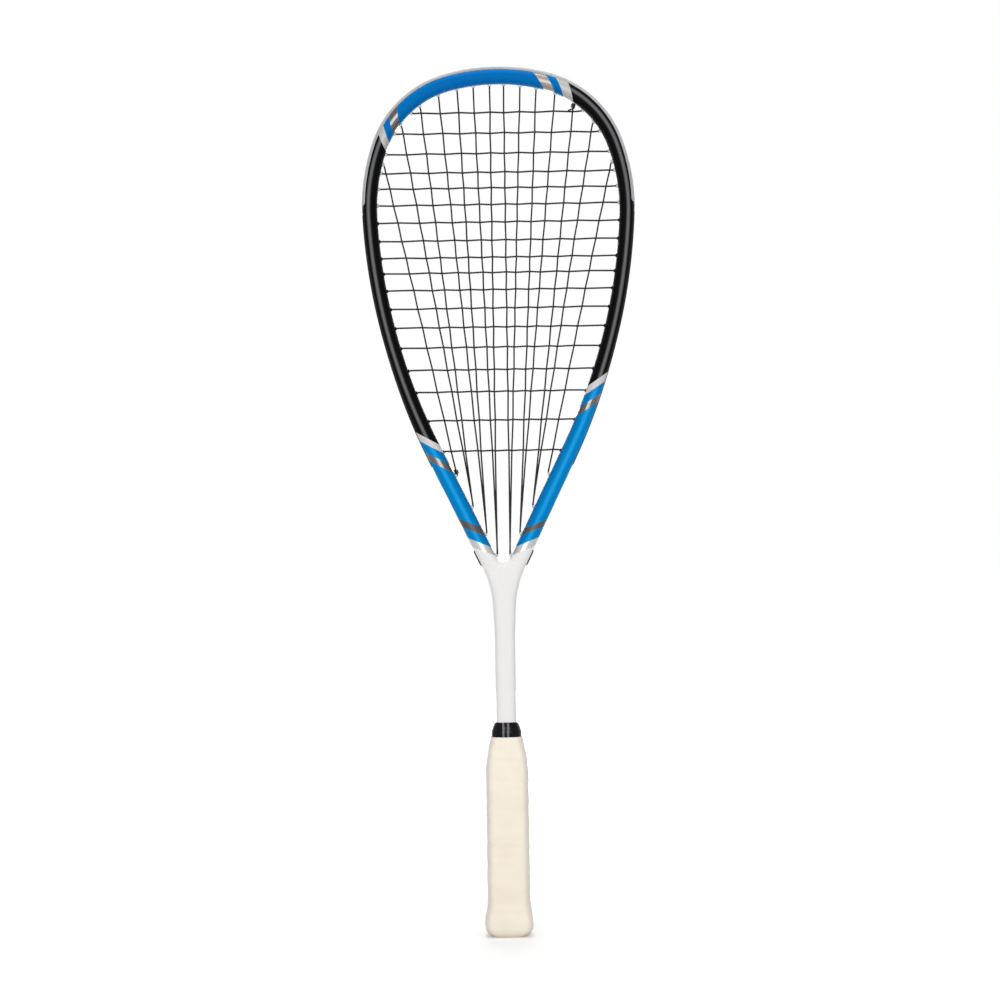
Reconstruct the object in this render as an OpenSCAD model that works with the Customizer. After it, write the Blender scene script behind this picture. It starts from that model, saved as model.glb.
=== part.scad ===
// Squash racket, upright: +Z runs from the butt end to the head, the strings lie in the XZ plane
// and the front of the racket faces -Y. The origin is the middle of the butt end.

/* [Overall] */
// Length from the butt end to the top of the bumper
overall_len = 685.5; // [600:0.5:830]
// Width of the frame at the widest part of the head
head_w = 214.2; // [170:0.2:260]

/* [Head outline] */
// Outer radius of the crown at the top of the head
crown_r = 158.4; // [120:0.1:200]
// Angle that each half of the crown turns through
crown_a = 15; // [10:1:20]
// Angle that a shoulder turns through
shoulder_a = 55; // [48:1:60]
// Outer radius at the widest part
side_r = 153.4; // [120:0.1:190]
// Angle that the widest part turns through
side_a = 23; // [20:1:28]
// Outer radius of the long flank above each leg
flank_r = 471; // [380:1:560]
// Angle of the straight legs from the shaft's axis
leg_a = 26; // [22:0.5:30]
// Outer radius where a leg sweeps into the shaft
throat_r = 75.2; // [55:0.1:95]
// Gap between the legs at the bottom of the rounded fork
fork_gap = 7.6; // [4:0.1:12]
// Radius of that fork
fork_r = 5.5; // [4:0.1:7]
// Front-to-back depth of the fill between the legs
fork_d = 14; // [10:0.5:16]

/* [Frame tube] */
// Width of the tube in the plane of the strings
tube_w = 11.6; // [9.6:0.1:14]
// Depth of the tube from front to back
tube_d = 18; // [15:0.1:20]
// Wall of the hollow tube
wall = 1.1; // [0.9:0.1:1.8]
// Squareness of the tube's oval, where 2 is an ellipse
tube_e = 2.6; // [2:0.1:3]
// Amount that each leg widens on its outer side
leg_swell = 1.9; // [0:0.1:3]
// Width over both halves of the tube where they form the shaft
shaft_w = 16; // [13.3:0.1:19.2]
// Wall between the two halves inside the shaft
shaft_web = 2; // [1.5:0.1:3]
// Height of the shaft's lower end inside the handle
shaft_foot = 5; // [4:0.5:20]

/* [Strings] */
// Diameter of the string
string_d = 1.2; // [1:0.05:1.45]
// Free space between two strings where they cross
weave_gap = 0.45; // [0.42:0.01:0.6]
// Steps along the frame from the middle of the crown to each main string in turn, before scaling
main_steps = [5.8, 13.5, 13.5, 16.4, 18.4, 22.9, 37];
// Distance along the frame from the start of the side to the outermost main string
main_past = 13.3; // [8:0.1:20]
// Drop from the inside of the crown to the first cross string, before scaling
cross_first = 21.4; // [20:0.1:26]
// Drop from the lowest cross string to the fork, before scaling
cross_last = 87; // [75:0.5:100]
// Steps down the head from each cross string to the next, before scaling
cross_steps = [
    16.4, 16.1, 15, 12.4, 13.1, 13.9, 14.3, 13.5, 12, 13.5, 14.5, 15, 15.8, 17.7, 17.3, 22.6, 24.1
];
// Steps down the legs from the lowest cross string to each bottom grommet, before scaling
bottom_steps = [20.5, 28.5, 23.5, 18.5];
// Shift of each bottom grommet's outer end along the leg
bottom_lean = [-3, -1, -3, -4.2];
// Distance between the two outer ends of a double bottom grommet
bottom_spread = [8, 8, 8, 13.6];
// Share of the string's bend that the slanted hole takes
hole_lean = 0.5; // [0.3:0.05:0.6]

/* [Grommets and bumper] */
// Amount that the bore of a grommet barrel is wider than the string
bore_ease = 0.7; // [0.6:0.05:0.8]
// Wall of a grommet barrel
barrel_wall = 0.65; // [0.5:0.05:0.8]
// Length of barrel that stands out inside the head
tip_len = 0.8; // [0.5:0.1:2.5]
// Thickness of a strip under the strings
strip_t = 0.8; // [0.6:0.1:1]
// Thickness of a strip beside the strings
lip_t = 1.25; // [1:0.05:1.5]
// Height that the side strips stand out of the frame
strip_proud = 0.3; // [0.1:0.1:0.6]
// Height that the bumper stands out of the frame
bumper_proud = 2.3; // [1.5:0.1:3]
// Thickness of the bumper at its two ends
bumper_thin = 0.5; // [0.4:0.1:1]
// Front-to-back width of the bumper
bumper_w = 13; // [11:0.5:14]
// Number of cross strings at each side that end under the bumper
bumper_crosses = 6; // [5:1:7]

/* [Handle] */
// Length of the grip
grip_len = 157; // [130:1:190]
// Width of the grip
grip_w = 33.2; // [29:0.1:36]
// Depth of the grip from front to back
grip_d = 30; // [28:0.1:34]
// Cover of the shaft's sides at the grip's upper end
top_side = 4.7; // [4:0.1:6]
// Cover of the shaft's front and back at the grip's upper end
top_face = 3.4; // [3.2:0.1:5]
// Length over which the grip tapers to its upper end
taper_len = 27; // [20:1:45]
// Amount that the butt is larger than the grip
butt_grow = 4.6; // [2:0.1:6]
// Height of the thickest part of the butt
butt_z = 10; // [8:0.5:13]
// Height at which the butt's flare starts
flare_z = 29; // [22:1:40]
// Rounding of the butt's lower edge, across the butt
butt_round = 8; // [2.5:0.1:9]
// Thickness of the grip
grip_t = 1.9; // [1.4:0.1:2.2]
// Thickness of the butt cap's base plate
cap_t = 2.4; // [1.8:0.1:3]
// Wall of the butt cap's skirt
cap_wall = 1.6; // [1.2:0.1:2]
// Height of the butt cap
cap_h = 14; // [12:0.5:18]
// Height of the black collar above the grip
collar_h = 11.5; // [9:0.5:16]
// Thickness of the collar at its lower edge
collar_low_t = 0.9; // [0.6:0.05:1.2]
// Thickness of the collar at its upper edge
collar_t = 0.4; // [0.3:0.05:0.6]
// Diameter of a tack's pin
tack_d = 1.2; // [1:0.1:1.6]
// Length of a tack
tack_len = 7; // [6:0.5:9]
// Diameter of a tack's head
tack_head_d = 3.4; // [2.5:0.1:4]
// Thickness of a tack's head
tack_head_t = 0.7; // [0.5:0.1:1]

/* [Hidden] */
// Clearance between pieces that are pushed together
fit = 0.1;
// Clearance round the shaft inside the handle
shaft_fit = 0.3;
// Clearance of the string in the channels
string_fit = 0.1;
// Distance from a string's sharp turn at which it is rounded off
bend = 0.5;
// Largest turn of an outside string run from one of its points to the next
run_turn = 5;
// Wall between the two bores of a double grommet
pair_wall = 0.3;
// Largest distance between a facet and the true curve
facet = 0.12;
// Numbers of points round the tube, its bore and the handle
tube_n = 16;
bore_n = 10;
grip_n = 24;
// Number of facets across the bumper, and the share of its width on the outside
bumper_n = 8;
bumper_bevel = 0.9;
// Squareness of the handle's oval, and of the oval that clears the shaft inside the collar
grip_e = 3;
shaft_e = 3.6;
// Length of the taper's whole curve, which the grip's upper end cuts short, in taper lengths
taper_whole = 1.25;
// A length that passes right through anything
far = 60;
// Length that a cutter runs past what it cuts
past = 2;
// Height of the butt cap's rim below the grip
rim_z = 1;
// Distance of each knot's middle from where its main string leaves the grommet
start_knot_z = 4.1;
end_knot_z = 2.1;
// Distance from turn to turn of a knot, in string diameters
knot_step = 0.8;
// Thickness of the core's neck round the shaft, and its distance below the collar's top
neck_t = 1;
neck_drop = 4;
// Length of string that stands out of its grommet where it starts, and where it ends
start_loose = 2;
end_loose = 1.2;
// Gap from the string's cut end to the part of the knot that goes on from it, in string clearances
knot_ease = 3;
// Free tail of string at the upper knot
tail_run = [-5.8, -1.2, -4];

main_n = 2 * len(main_steps);
cross_n = len(cross_steps) + 1;
string_r = string_d / 2;
weave_y = (string_d + weave_gap) / 2;
bore_d = string_d + bore_ease;
barrel_d = bore_d + 2 * barrel_wall;
// Distance from the middle plane of the outside string runs, and of the strings of a double grommet
lane = (bore_d + pair_wall) / 2;
channel_w = 2 * (lane + string_r) + 3 * string_fit;
groove_w = channel_w + 2 * (lip_t + fit);
groove_h = fit + strip_t + string_fit + string_d + 2 * fit;
grip_top_w = shaft_w + 2 * top_side;
grip_top_d = tube_d + 2 * top_face;
top_z = overall_len - bumper_proud;
// Offset of the outside string runs from the tube's middle line, in the groove and on the bare leg
channel_floor = tube_w / 2 - groove_h + fit + strip_t;
groove_off = channel_floor + string_r + string_fit;
bare_off = tube_w / 2 + string_r + string_fit;

// Middle line of the right half of the frame: crown, shoulder, side, flank, leg, throat, shaft.
// A heading of 0 runs along +X, and it turns towards -Z.
function along(h) = [cos(h), -sin(h)];
function outward(h) = [sin(h), cos(h)];
function step(p, h, turn, r, len) =
    r == 0 ? p + len * along(h) : p + sign(turn) * r * (outward(h + turn) - outward(h));
shoulder_r = (head_w / 2 - crown_r * sin(crown_a) - side_r * (1 - sin(crown_a + shoulder_a)))
    / (sin(crown_a + shoulder_a) - sin(crown_a));
flank_a = 90 + leg_a - crown_a - shoulder_a - side_a;
turns = [crown_a, shoulder_a, side_a, flank_a, 0, -leg_a, 0];
headings = [for (i = 0, h = 0; i < 7; h = h + turns[i], i = i + 1) h];
outer_radii = [crown_r, shoulder_r, side_r, flank_r, 0, throat_r, 0];
radii = [for (i = [0:6]) turns[i] == 0 ? 0 : outer_radii[i] - sign(turns[i]) * tube_w / 2];
flank_end_x = [for (i = [0:3]) radii[i] * (sin(headings[i] + turns[i]) - sin(headings[i]))]
    * [1, 1, 1, 1];
leg_len = (flank_end_x - radii[5] * (1 - cos(leg_a)) - (shaft_w - tube_w) / 2) / sin(leg_a);
lengths = [for (i = [0:6]) turns[i] == 0 ? leg_len : radii[i] * abs(turns[i]) * PI / 180];
starts = [
    for (
        i = 0, p = [0, top_z - tube_w / 2];
        i < 7;
        p = step(p, headings[i], turns[i], radii[i], lengths[i]), i = i + 1
    ) p
];
marks = [for (i = 0, s = 0; i < 7; s = s + lengths[i], i = i + 1) s];
shaft_end = marks[6] + starts[6][1] - shaft_foot;

// The legs' extra width: it comes in along the flank and goes out again below the throat.
swell_from = marks[3] + lengths[3] / 2;
swell_full = marks[4] + lengths[4] / 3;
swell_last = marks[5] + lengths[5] / 5;
swell_to = 2 * marks[6] - swell_last;
function smooth(t) = let (u = max(0, min(1, t))) u * u * (3 - 2 * u);
function swell(s) =
    leg_swell * (
        smooth((s - swell_from) / (swell_full - swell_from))
        - smooth((s - swell_last) / (swell_to - swell_last))
    );
// A place on the frame: s is the distance along the middle line, off the distance outwards from it.
// Where the legs widen, their inner edge stays and the rest moves out.
function stretch(s) = max([for (i = [0:6]) if (marks[i] <= s) i]);
function heading(s) =
    let (i = stretch(s)) headings[i] + turns[i] * (s - marks[i]) / lengths[i];
function at(s, off) =
    let (i = stretch(s), h = heading(s))
    step(starts[i], headings[i], h - headings[i], radii[i], s - marks[i])
    + (off + swell(s) * (off / tube_w + 1 / 2)) * outward(h);
// The same in space. A negative s is on the left half.
function place(s, off, y) =
    let (p = at(abs(s), off)) [s < 0 ? -p[0] : p[0], y, p[1]];
// Distance along the frame at which its inner edge is at a height.
function inner_s(z, lo = 0, hi = marks[6], n = 30) =
    let (mid = (lo + hi) / 2)
    n == 0 ? mid
    : at(mid, -tube_w / 2)[1] > z ? inner_s(z, mid, hi, n - 1) : inner_s(z, lo, mid, n - 1);
// Distance along the frame at which its inner edge is at a distance from the shaft's axis.
function fork_s(x, lo = marks[4], hi = marks[6], n = 30) =
    let (mid = (lo + hi) / 2)
    n == 0 ? mid
    : at(mid, -tube_w / 2)[0] > x ? fork_s(x, mid, hi, n - 1) : fork_s(x, lo, mid, n - 1);
fork_z = at(fork_s(fork_gap / 2), -tube_w / 2)[1];
// Stations for a sweep, close enough together on each arc, and at thirds of a leg's length elsewhere.
function arc_steps(i) =
    turns[i] == 0 ? 3 : ceil(abs(turns[i]) / (sqrt(8 * facet / radii[i]) * 180 / PI));
right_stations = [for (i = [0:6]) for (k = [0:arc_steps(i) - 1]) marks[i] + lengths[i] * k / arc_steps(i)];
all_stations = concat([for (k = [len(right_stations) - 1:-1:1]) -right_stations[k]], right_stations);
function stations(from, to) =
    concat([from], [for (s = all_stations) if (s > from + 0.5 && s < to - 0.5) s], [to]);

// Sums of the steps, scaled to the frame, give the places of the strings.
function total(steps, last) = last < 0 ? 0 : steps[last] + total(steps, last - 1);
main_scale = (marks[2] + main_past) / total(main_steps, len(main_steps) - 1);
main_s = [for (m = [0:len(main_steps) - 1]) main_scale * total(main_steps, m)];
inner_top = top_z - tube_w;
cross_scale = (inner_top - fork_z) / (cross_first + total(cross_steps, cross_n - 2) + cross_last);
cross_s = [
    for (j = [0:cross_n - 1]) inner_s(inner_top - cross_scale * (cross_first + total(cross_steps, j - 1)))
];
bottom_s = [for (q = [0:3]) cross_s[cross_n - 1] + cross_scale * total(bottom_steps, q)];

// A string hole is [s at the inner mouth, s at the outer mouth, y inside, y outside, offset outside].
function mouth(hole) = place(hole[0], -tube_w / 2, hole[2]);
function outlet(hole) = place(hole[1], hole[4], hole[3]);
function unit(v) = v / norm(v);
function axis(hole) = unit(outlet(hole) - mouth(hole));
function tip(hole) = mouth(hole) - tip_len * axis(hole);
// Where the string turns, just clear of the barrel
function exit(hole) = tip(hole) - (string_r + string_fit) * axis(hole);
// Shift of a hole's outer mouth so that the hole takes part of the bend of a string of direction d.
function lean(s, d) =
    let (h = heading(s))
    hole_lean * (tube_w / 2 + groove_off) * (d * along(h)) / (1 + d * outward(h));

// Main strings are numbered from the left, cross strings from the top.
half_n = main_n / 2;
tie_main = main_n - 3;
function side_of(i) = i < half_n ? -1 : 1;
function from_middle(i) = i < half_n ? half_n - 1 - i : i - half_n;
function bottom_of(i) = 3 - floor(from_middle(i) / 2);
function over(i, j) = (i + j) % 2 == 0 ? 1 : -1;
function main_top(i) =
    let (
        s = main_s[from_middle(i)],
        d = unit(at(s, -tube_w / 2) - at(bottom_s[bottom_of(i)], -tube_w / 2))
    )
    [side_of(i) * s, side_of(i) * (s + lean(s, d)), i == tie_main ? -lane : 0, -lane, groove_off];
// Of the two strings in a double grommet, one comes out higher on the leg and one lower.
function main_outlet(i) =
    from_middle(i) % 2 == 1 ? -1 : bottom_of(i) > 0 || i == 0 ? 1 : 0;
function bottom_hole(side, q, part, y) =
    let (s = bottom_s[q])
    [
        side * s, side * (s + bottom_lean[q] + part * bottom_spread[q] / 2), y,
        part == 0 ? lane : 0, q == 3 ? bare_off : groove_off
    ];
function main_bottom(i) =
    let (part = main_outlet(i))
    bottom_hole(side_of(i), bottom_of(i), part, abs(part) * over(i, cross_n - 1) * lane);
function cross_hole(j, side) =
    [side * cross_s[j], side * (cross_s[j] + lean(cross_s[j], [1, 0])), 0, lane, groove_off];
main_tops = [for (i = [0:main_n - 1]) main_top(i)];
main_bottoms = [for (i = [0:main_n - 1]) main_bottom(i)];
left_holes = [for (j = [0:cross_n - 1]) cross_hole(j, -1)];
right_holes = [for (j = [0:cross_n - 1]) cross_hole(j, 1)];
// The string starts at a knot at the lower left and ends at one at the upper right.
start_hole = bottom_hole(-1, 0, -1, -main_bottoms[0][2]);
end_hole = [main_tops[tie_main][0], main_tops[tie_main][1], lane, lane, groove_off];

// Route of the one string
top_tips = [for (hole = main_tops) exit(hole)];
bottom_tips = [for (hole = main_bottoms) exit(hole)];
cross_z = [for (hole = right_holes) exit(hole)[2]];
function meets(i, j) = cross_z[j] < top_tips[i][2] - past && cross_z[j] > bottom_tips[i][2] + past;
function main_x(i, z) =
    let (share = (z - bottom_tips[i][2]) / (top_tips[i][2] - bottom_tips[i][2]))
    bottom_tips[i][0] + share * (top_tips[i][0] - bottom_tips[i][0]);
function crossing(i, j, side) = [main_x(i, cross_z[j]), side * over(i, j) * weave_y, cross_z[j]];
function main_run(i) = [for (j = [0:cross_n - 1]) if (meets(i, j)) crossing(i, j, 1)];
function cross_run(j) = [for (i = [0:main_n - 1]) if (meets(i, j)) crossing(i, j, -1)];
function flip(list) = [for (k = [len(list) - 1:-1:0]) list[k]];
// Out through a hole, and round towards the next one
function leave(hole, next) = [
    exit(hole),
    outlet(hole) - bend * axis(hole),
    place(hole[1] + bend * sign(next[1] - hole[1]), hole[4], hole[3])
];
// Along the outside of the frame from one hole to the next
function outside(a, b) =
    let (n = ceil(abs(heading(abs(b[1])) - heading(abs(a[1]))) / run_turn))
    [for (k = [1:1:n - 1]) let (t = k / n) place(a[1] + t * (b[1] - a[1]), a[4], a[3] + t * (b[3] - a[3]))];
function turn(a, b) = concat(leave(a, b), outside(a, b), flip(leave(b, a)));
mains_route = [
    for (i = [0:main_n - 1]) each concat(
        i % 2 == 0 ? flip(main_run(i)) : main_run(i),
        i == main_n - 1 ? []
        : i % 2 == 0 ? turn(main_tops[i], main_tops[i + 1])
        : turn(main_bottoms[i], main_bottoms[i + 1])
    )
];
crosses_route = [
    for (j = [cross_n - 1:-1:0]) each concat(
        j % 2 == 1 ? flip(cross_run(j)) : cross_run(j),
        j == 0 ? []
        : j % 2 == 1 ? turn(left_holes[j], left_holes[j - 1])
        : turn(right_holes[j], right_holes[j - 1])
    )
];
start_loose_end = tip(start_hole) - start_loose * axis(start_hole);
end_loose_end = tip(end_hole) - end_loose * axis(end_hole);
string_route = concat(
    [start_loose_end],
    turn(start_hole, main_bottoms[0]),
    mains_route,
    turn(main_bottoms[main_n - 1], right_holes[cross_n - 1]),
    crosses_route,
    turn(right_holes[0], end_hole),
    [end_loose_end]
);
least_gap = min([
    for (i = [0:main_n - 1], j = [0:cross_n - 1])
        if (meets(i, j)) norm(crossing(i, j, 1) - crossing(i, j, -1)) - string_d
]);
echo(least_string_gap = least_gap, string_length = sum_length(string_route));
function sum_length(p) = [for (k = [1:len(p) - 1]) norm(p[k] - p[k - 1])] * [for (k = [1:len(p) - 1]) 1];

// Outlines of the tube, as points [outward, depth]
function oval_point(w, d, e, t) =
    [sign(cos(t)) * pow(abs(cos(t)), 2 / e) * w / 2, sign(sin(t)) * pow(abs(sin(t)), 2 / e) * d / 2];
function oval(w, d, e, n) = [for (k = [0:n - 1]) oval_point(w, d, e, 360 * k / n)];
// An oval whose outer side has a flat or notch, flat_w wide, at a given distance from the middle
function notched(w, d, flat_w, floor, n) =
    let (t = asin(pow(flat_w / d, tube_e / 2)))
    concat(
        [for (k = [0:n]) oval_point(w, d, tube_e, t + (360 - 2 * t) * k / n)],
        [[floor, -flat_w / 2], [floor, flat_w / 2]]
    );
groove_end = bottom_s[2] + bottom_lean[2] + bottom_spread[2] / 2 + barrel_d;
function tube_outline(s) =
    notched(tube_w, tube_d, groove_w, tube_w / 2 - (abs(s) <= groove_end ? groove_h : 0), tube_n);
bore_outline = notched(
    tube_w - 2 * wall, tube_d - 2 * wall, groove_w + 2 * wall, tube_w / 2 - groove_h - wall, bore_n
);
// A strip that fills the groove
function strip_outline(top) =
    let (half = groove_w / 2 - fit, low = tube_w / 2 - groove_h + fit)
    [[low, -half], [top, -half], [top, half], [low, half]];
// The bumper, as a crescent round the outside of the tube
bumper_t = asin(pow(bumper_w / tube_d, tube_e / 2));
function bumper_side(grow, from, to, n) = [
    for (k = [0:n])
        oval_point(tube_w + 2 * grow, tube_d + 2 * fit, tube_e, from + (to - from) * k / n)
];
function bumper_outline(thick) = concat(
    bumper_side(fit, bumper_t, -bumper_t, bumper_n),
    bumper_side(fit + thick, -bumper_t * bumper_bevel, bumper_t * bumper_bevel, bumper_n)
);

// Faces of the skin of a row of rings of n points each, as triangles
function skin_faces(rings, n) = concat(
    [
        for (r = [0:rings - 2], k = [0:n - 1], half = [0, 1])
            let (a = r * n + k, b = r * n + (k + 1) % n)
            half == 0 ? [a, a + n, b + n] : [a, b + n, b]
    ]
);
// A solid with that skin and a flat face at each end, which is cut into triangles if fan is true
module skin(rings, fan = false) {
    n = len(rings[0]);
    last = (len(rings) - 1) * n;
    first_end = fan ? [for (k = [1:n - 2]) [0, k, k + 1]] : [[for (k = [0:n - 1]) k]];
    polyhedron(
        points = [for (ring = rings) each ring],
        faces = concat(
            skin_faces(len(rings), n),
            first_end,
            [for (face = first_end) [for (k = [len(face) - 1:-1:0]) last + face[k]]]
        ),
        convexity = 10
    );
}
module sweep(places, outlines) {
    skin([
        for (m = [0:len(places) - 1])
            [for (q = outlines[m]) place(places[m], q[0], -q[1])]
    ]);
}
module sweep_same(places, outline) {
    sweep(places, [for (s = places) outline]);
}
// A solid of ovals, level by level: [height, width, depth, squareness if it isn't the handle's]
module loft(levels) {
    skin([
        for (level = levels)
            let (e = is_undef(level[3]) ? grip_e : level[3])
            [for (q = oval(level[1], level[2], e, grip_n)) [q[0], q[1], level[0]]]
    ]);
}
// A round rod from one point to another
module rod(a, b, r) {
    v = b - a;
    translate(a)
        rotate([0, acos(v[2] / norm(v)), atan2(v[1], v[0])])
            cylinder(h = norm(v), r = r, $fn = 24);
}
module both_sides() {
    children();
    mirror([1, 0, 0]) children();
}

// The frame: one hollow moulding of head, legs and shaft
right_main_holes = [for (i = [half_n:main_n - 1]) each [main_tops[i], main_bottoms[i]]];
left_main_holes = [for (i = [0:half_n - 1]) each [main_tops[i], main_bottoms[i]]];
function barrel_end(hole) = outlet(hole) + past * axis(hole);
module holes(list) {
    for (hole = list)
        rod(mouth(hole) - 2 * past * axis(hole), barrel_end(hole), barrel_d / 2 + fit);
}
module left_of(x) {
    translate([x - far, -far, -far]) cube([far, 2 * far, fork_z + 2 * far]);
}
module fork() {
    low = at(marks[6] - lengths[5] / 5, 0);
    high = at(inner_s(fork_z + fork_r), 0);
    rotate([90, 0, 0])
        linear_extrude(fork_d, center = true)
            difference() {
                polygon([[0, low[1]], low, high, [0, high[1]]]);
                translate([0, fork_z + fork_r]) circle(fork_r, $fn = 48);
            }
}
module frame_half() {
    places = concat(
        stations(0, groove_end), stations(groove_end + past, shaft_end)
    );
    difference() {
        union() {
            difference() {
                sweep(places, [for (s = places) tube_outline(s)]);
                left_of(0);
            }
            fork();
        }
        difference() {
            sweep_same(stations(-past, shaft_end + past), bore_outline);
            left_of(shaft_web / 2);
        }
    }
}
module frame() {
    color([0.05, 0.35, 0.65])
        difference() {
            both_sides() frame_half();
            holes(concat(left_main_holes, right_main_holes, left_holes, right_holes));
            holes([start_hole, end_hole]);
        }
}

// Strips and grommets: barrels through the frame on a strip in the groove
module barrels(list) {
    for (hole = list) rod(tip(hole), outlet(hole), barrel_d / 2);
}
module bores(list) {
    for (hole = list) rod(tip(hole) - past * axis(hole), barrel_end(hole), bore_d / 2);
}
// A channel's facets join halfway along those of the strip that it is cut in.
module channel(from, to, floor) {
    half = channel_w / 2;
    high = floor + 2 * groove_h;
    joins = stations(from, to);
    middles = [for (k = [1:len(joins) - 1]) (joins[k - 1] + joins[k]) / 2];
    sweep_same(concat([from], middles, [to]), [[floor, -half], [high, -half], [high, half], [floor, half]]);
}
bumper_end = (cross_s[bumper_crosses - 1] + cross_s[bumper_crosses]) / 2;
module strip(from, to, top, list) {
    difference() {
        union() {
            sweep_same(stations(from, to), strip_outline(top));
            barrels(list);
        }
        channel(from - past, to + past, channel_floor);
        bores(list);
    }
}
module head_strip() {
    upper = [for (j = [0:bumper_crosses - 1]) each [left_holes[j], right_holes[j]]];
    color([0.85, 0.86, 0.86])
        strip(-bumper_end, bumper_end, tube_w / 2 - 2 * fit, concat(main_tops, [end_hole], upper));
}
// The guard that covers the head's outside and thins out towards its ends
function bumper_thick(s) =
    bumper_thin + (bumper_proud - fit - bumper_thin) * (1 - smooth(abs(s) / bumper_end));
module head_bumper() {
    places = stations(-bumper_end, bumper_end);
    color([0.72, 0.73, 0.74])
        sweep(places, [for (s = places) bumper_outline(bumper_thick(s))]);
}
strip_end = cross_s[cross_n - 1] + 2 * barrel_d;
module side_strip(side) {
    list = [for (j = [bumper_crosses:cross_n - 1]) side < 0 ? left_holes[j] : right_holes[j]];
    ends = [side * (bumper_end + 2 * fit), side * strip_end];
    color([0.06, 0.06, 0.07])
        strip(min(ends), max(ends), tube_w / 2 + strip_proud, list);
}
function bottom_holes(side, q) = concat(
    [for (i = [0:main_n - 1]) if (side_of(i) == side && bottom_of(i) == q) main_bottoms[i]],
    side < 0 && q == 0 ? [start_hole] : []
);
module bottom_grommet(side, q) {
    list = bottom_holes(side, q);
    outlets = [for (hole = list) hole[1]];
    from = min(outlets) - barrel_d;
    to = max(outlets) + barrel_d;
    color([0.85, 0.86, 0.86])
        if (q < 3) {
            strip(from, to, tube_w / 2, list);
        } else {
            difference() {
                barrels(list);
                channel(from - past, to + past, tube_w / 2);
                bores(list);
            }
        }
}

// The string: one unbroken tube along the whole route
module string() {
    sides = 6;
    p = string_route;
    last = len(p) - 1;
    ahead = [for (k = [0:last - 1]) unit(p[k + 1] - p[k])];
    tangents = [
        for (k = [0:last]) k == 0 ? ahead[0] : k == last ? ahead[last - 1] : unit(ahead[k - 1] + ahead[k])
    ];
    normals = [
        for (
            k = 0, n = unit(cross(tangents[0], [0, 1, 0]));
            k <= last;
            k = k + 1, n = k > last ? n : unit(n - (n * tangents[k]) * tangents[k])
        ) n
    ];
    color([0.06, 0.06, 0.06])
        skin(
            [
                for (k = [0:last])
                    [
                        for (q = [0:sides - 1])
                            let (a = 360 * q / sides)
                            p[k] + string_r * (cos(a) * normals[k] + sin(a) * cross(tangents[k], normals[k]))
                    ]
            ],
            fan = true
        );
}

// A knot: three turns of string round a main string, joined to the end that ties it
knot_turn = string_d + string_fit;
module knot(anchor, towards, end, run) {
    d = unit(towards - anchor);
    middle = anchor + run * d;
    side = unit(end - anchor - ((end - anchor) * d) * d);
    color([0.06, 0.06, 0.06]) {
        translate(middle)
            rotate([0, acos(d[2]), atan2(d[1], d[0])])
                for (k = [-1:1])
                    translate([0, 0, k * knot_step * string_d])
                        rotate_extrude($fn = 48)
                            translate([knot_turn, 0]) circle(string_r, $fn = 24);
        rod(end + (string_r + knot_ease * string_fit) * d, middle + knot_turn * side, string_r);
    }
}
module start_knot() {
    crossings = main_run(0);
    knot(bottom_tips[0], crossings[len(crossings) - 1], start_loose_end, start_knot_z);
}
module end_knot() {
    knot(top_tips[tie_main], main_run(tie_main)[0], end_loose_end, end_knot_z);
    tail = top_tips[tie_main] + knot_turn * unit([-1, -1, 0]) - [0, 0, end_knot_z];
    color([0.06, 0.06, 0.06]) rod(tail, tail + tail_run, string_r);
}

// Outside sizes of the handle at a height, before any grow
function butt_share(z) = smooth((flare_z - z) / (flare_z - butt_z));
function taper_share(z) =
    smooth((z - grip_len + taper_len) / taper_len / taper_whole) / smooth(1 / taper_whole);
function edge_cut(z) = z > butt_z ? 0 : 2 * butt_round * (1 - sqrt(1 - pow((butt_z - z) / butt_z, 2)));
function handle_size(z, size, top) =
    size + butt_grow * butt_share(z) - (size - top) * taper_share(z) - edge_cut(z);
function handle_w(z) = handle_size(z, grip_w, grip_top_w);
function handle_d(z) = handle_size(z, grip_d, grip_top_d);
function handle_level(z, inset) = [z, handle_w(z) - 2 * inset, handle_d(z) - 2 * inset];
butt_levels = [for (k = [1:4]) butt_z * k / 4];
flare_levels = [for (k = [1:4]) butt_z + (flare_z - butt_z) * k / 4];
taper_levels = [for (k = [0:6]) grip_len - taper_len + taper_len * k / 6];
upper_levels = concat(flare_levels, taper_levels);
handle_levels = concat([rim_z], butt_levels, upper_levels);

module shaft_pocket() {
    linear_extrude(grip_len + collar_h)
        for (side = [-1, 1])
            translate([side * (shaft_w - tube_w) / 2, 0])
                polygon(oval(tube_w + 2 * shaft_fit, tube_d + 2 * shaft_fit, tube_e, 32));
}
// Foam core moulded on the shaft, with a neck inside the collar and a foot inside the butt cap
core_inset = grip_t + fit;
cap_inner = core_inset + cap_wall + fit;
collar_top = grip_len + collar_h;
core_top = collar_top - neck_drop;
core_top_w = shaft_w + 2 * neck_t;
core_top_d = tube_d + 2 * neck_t;
inner_levels = concat([for (z = butt_levels) if (z > cap_t + rim_z) z], [cap_h + past / 2]);
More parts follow.
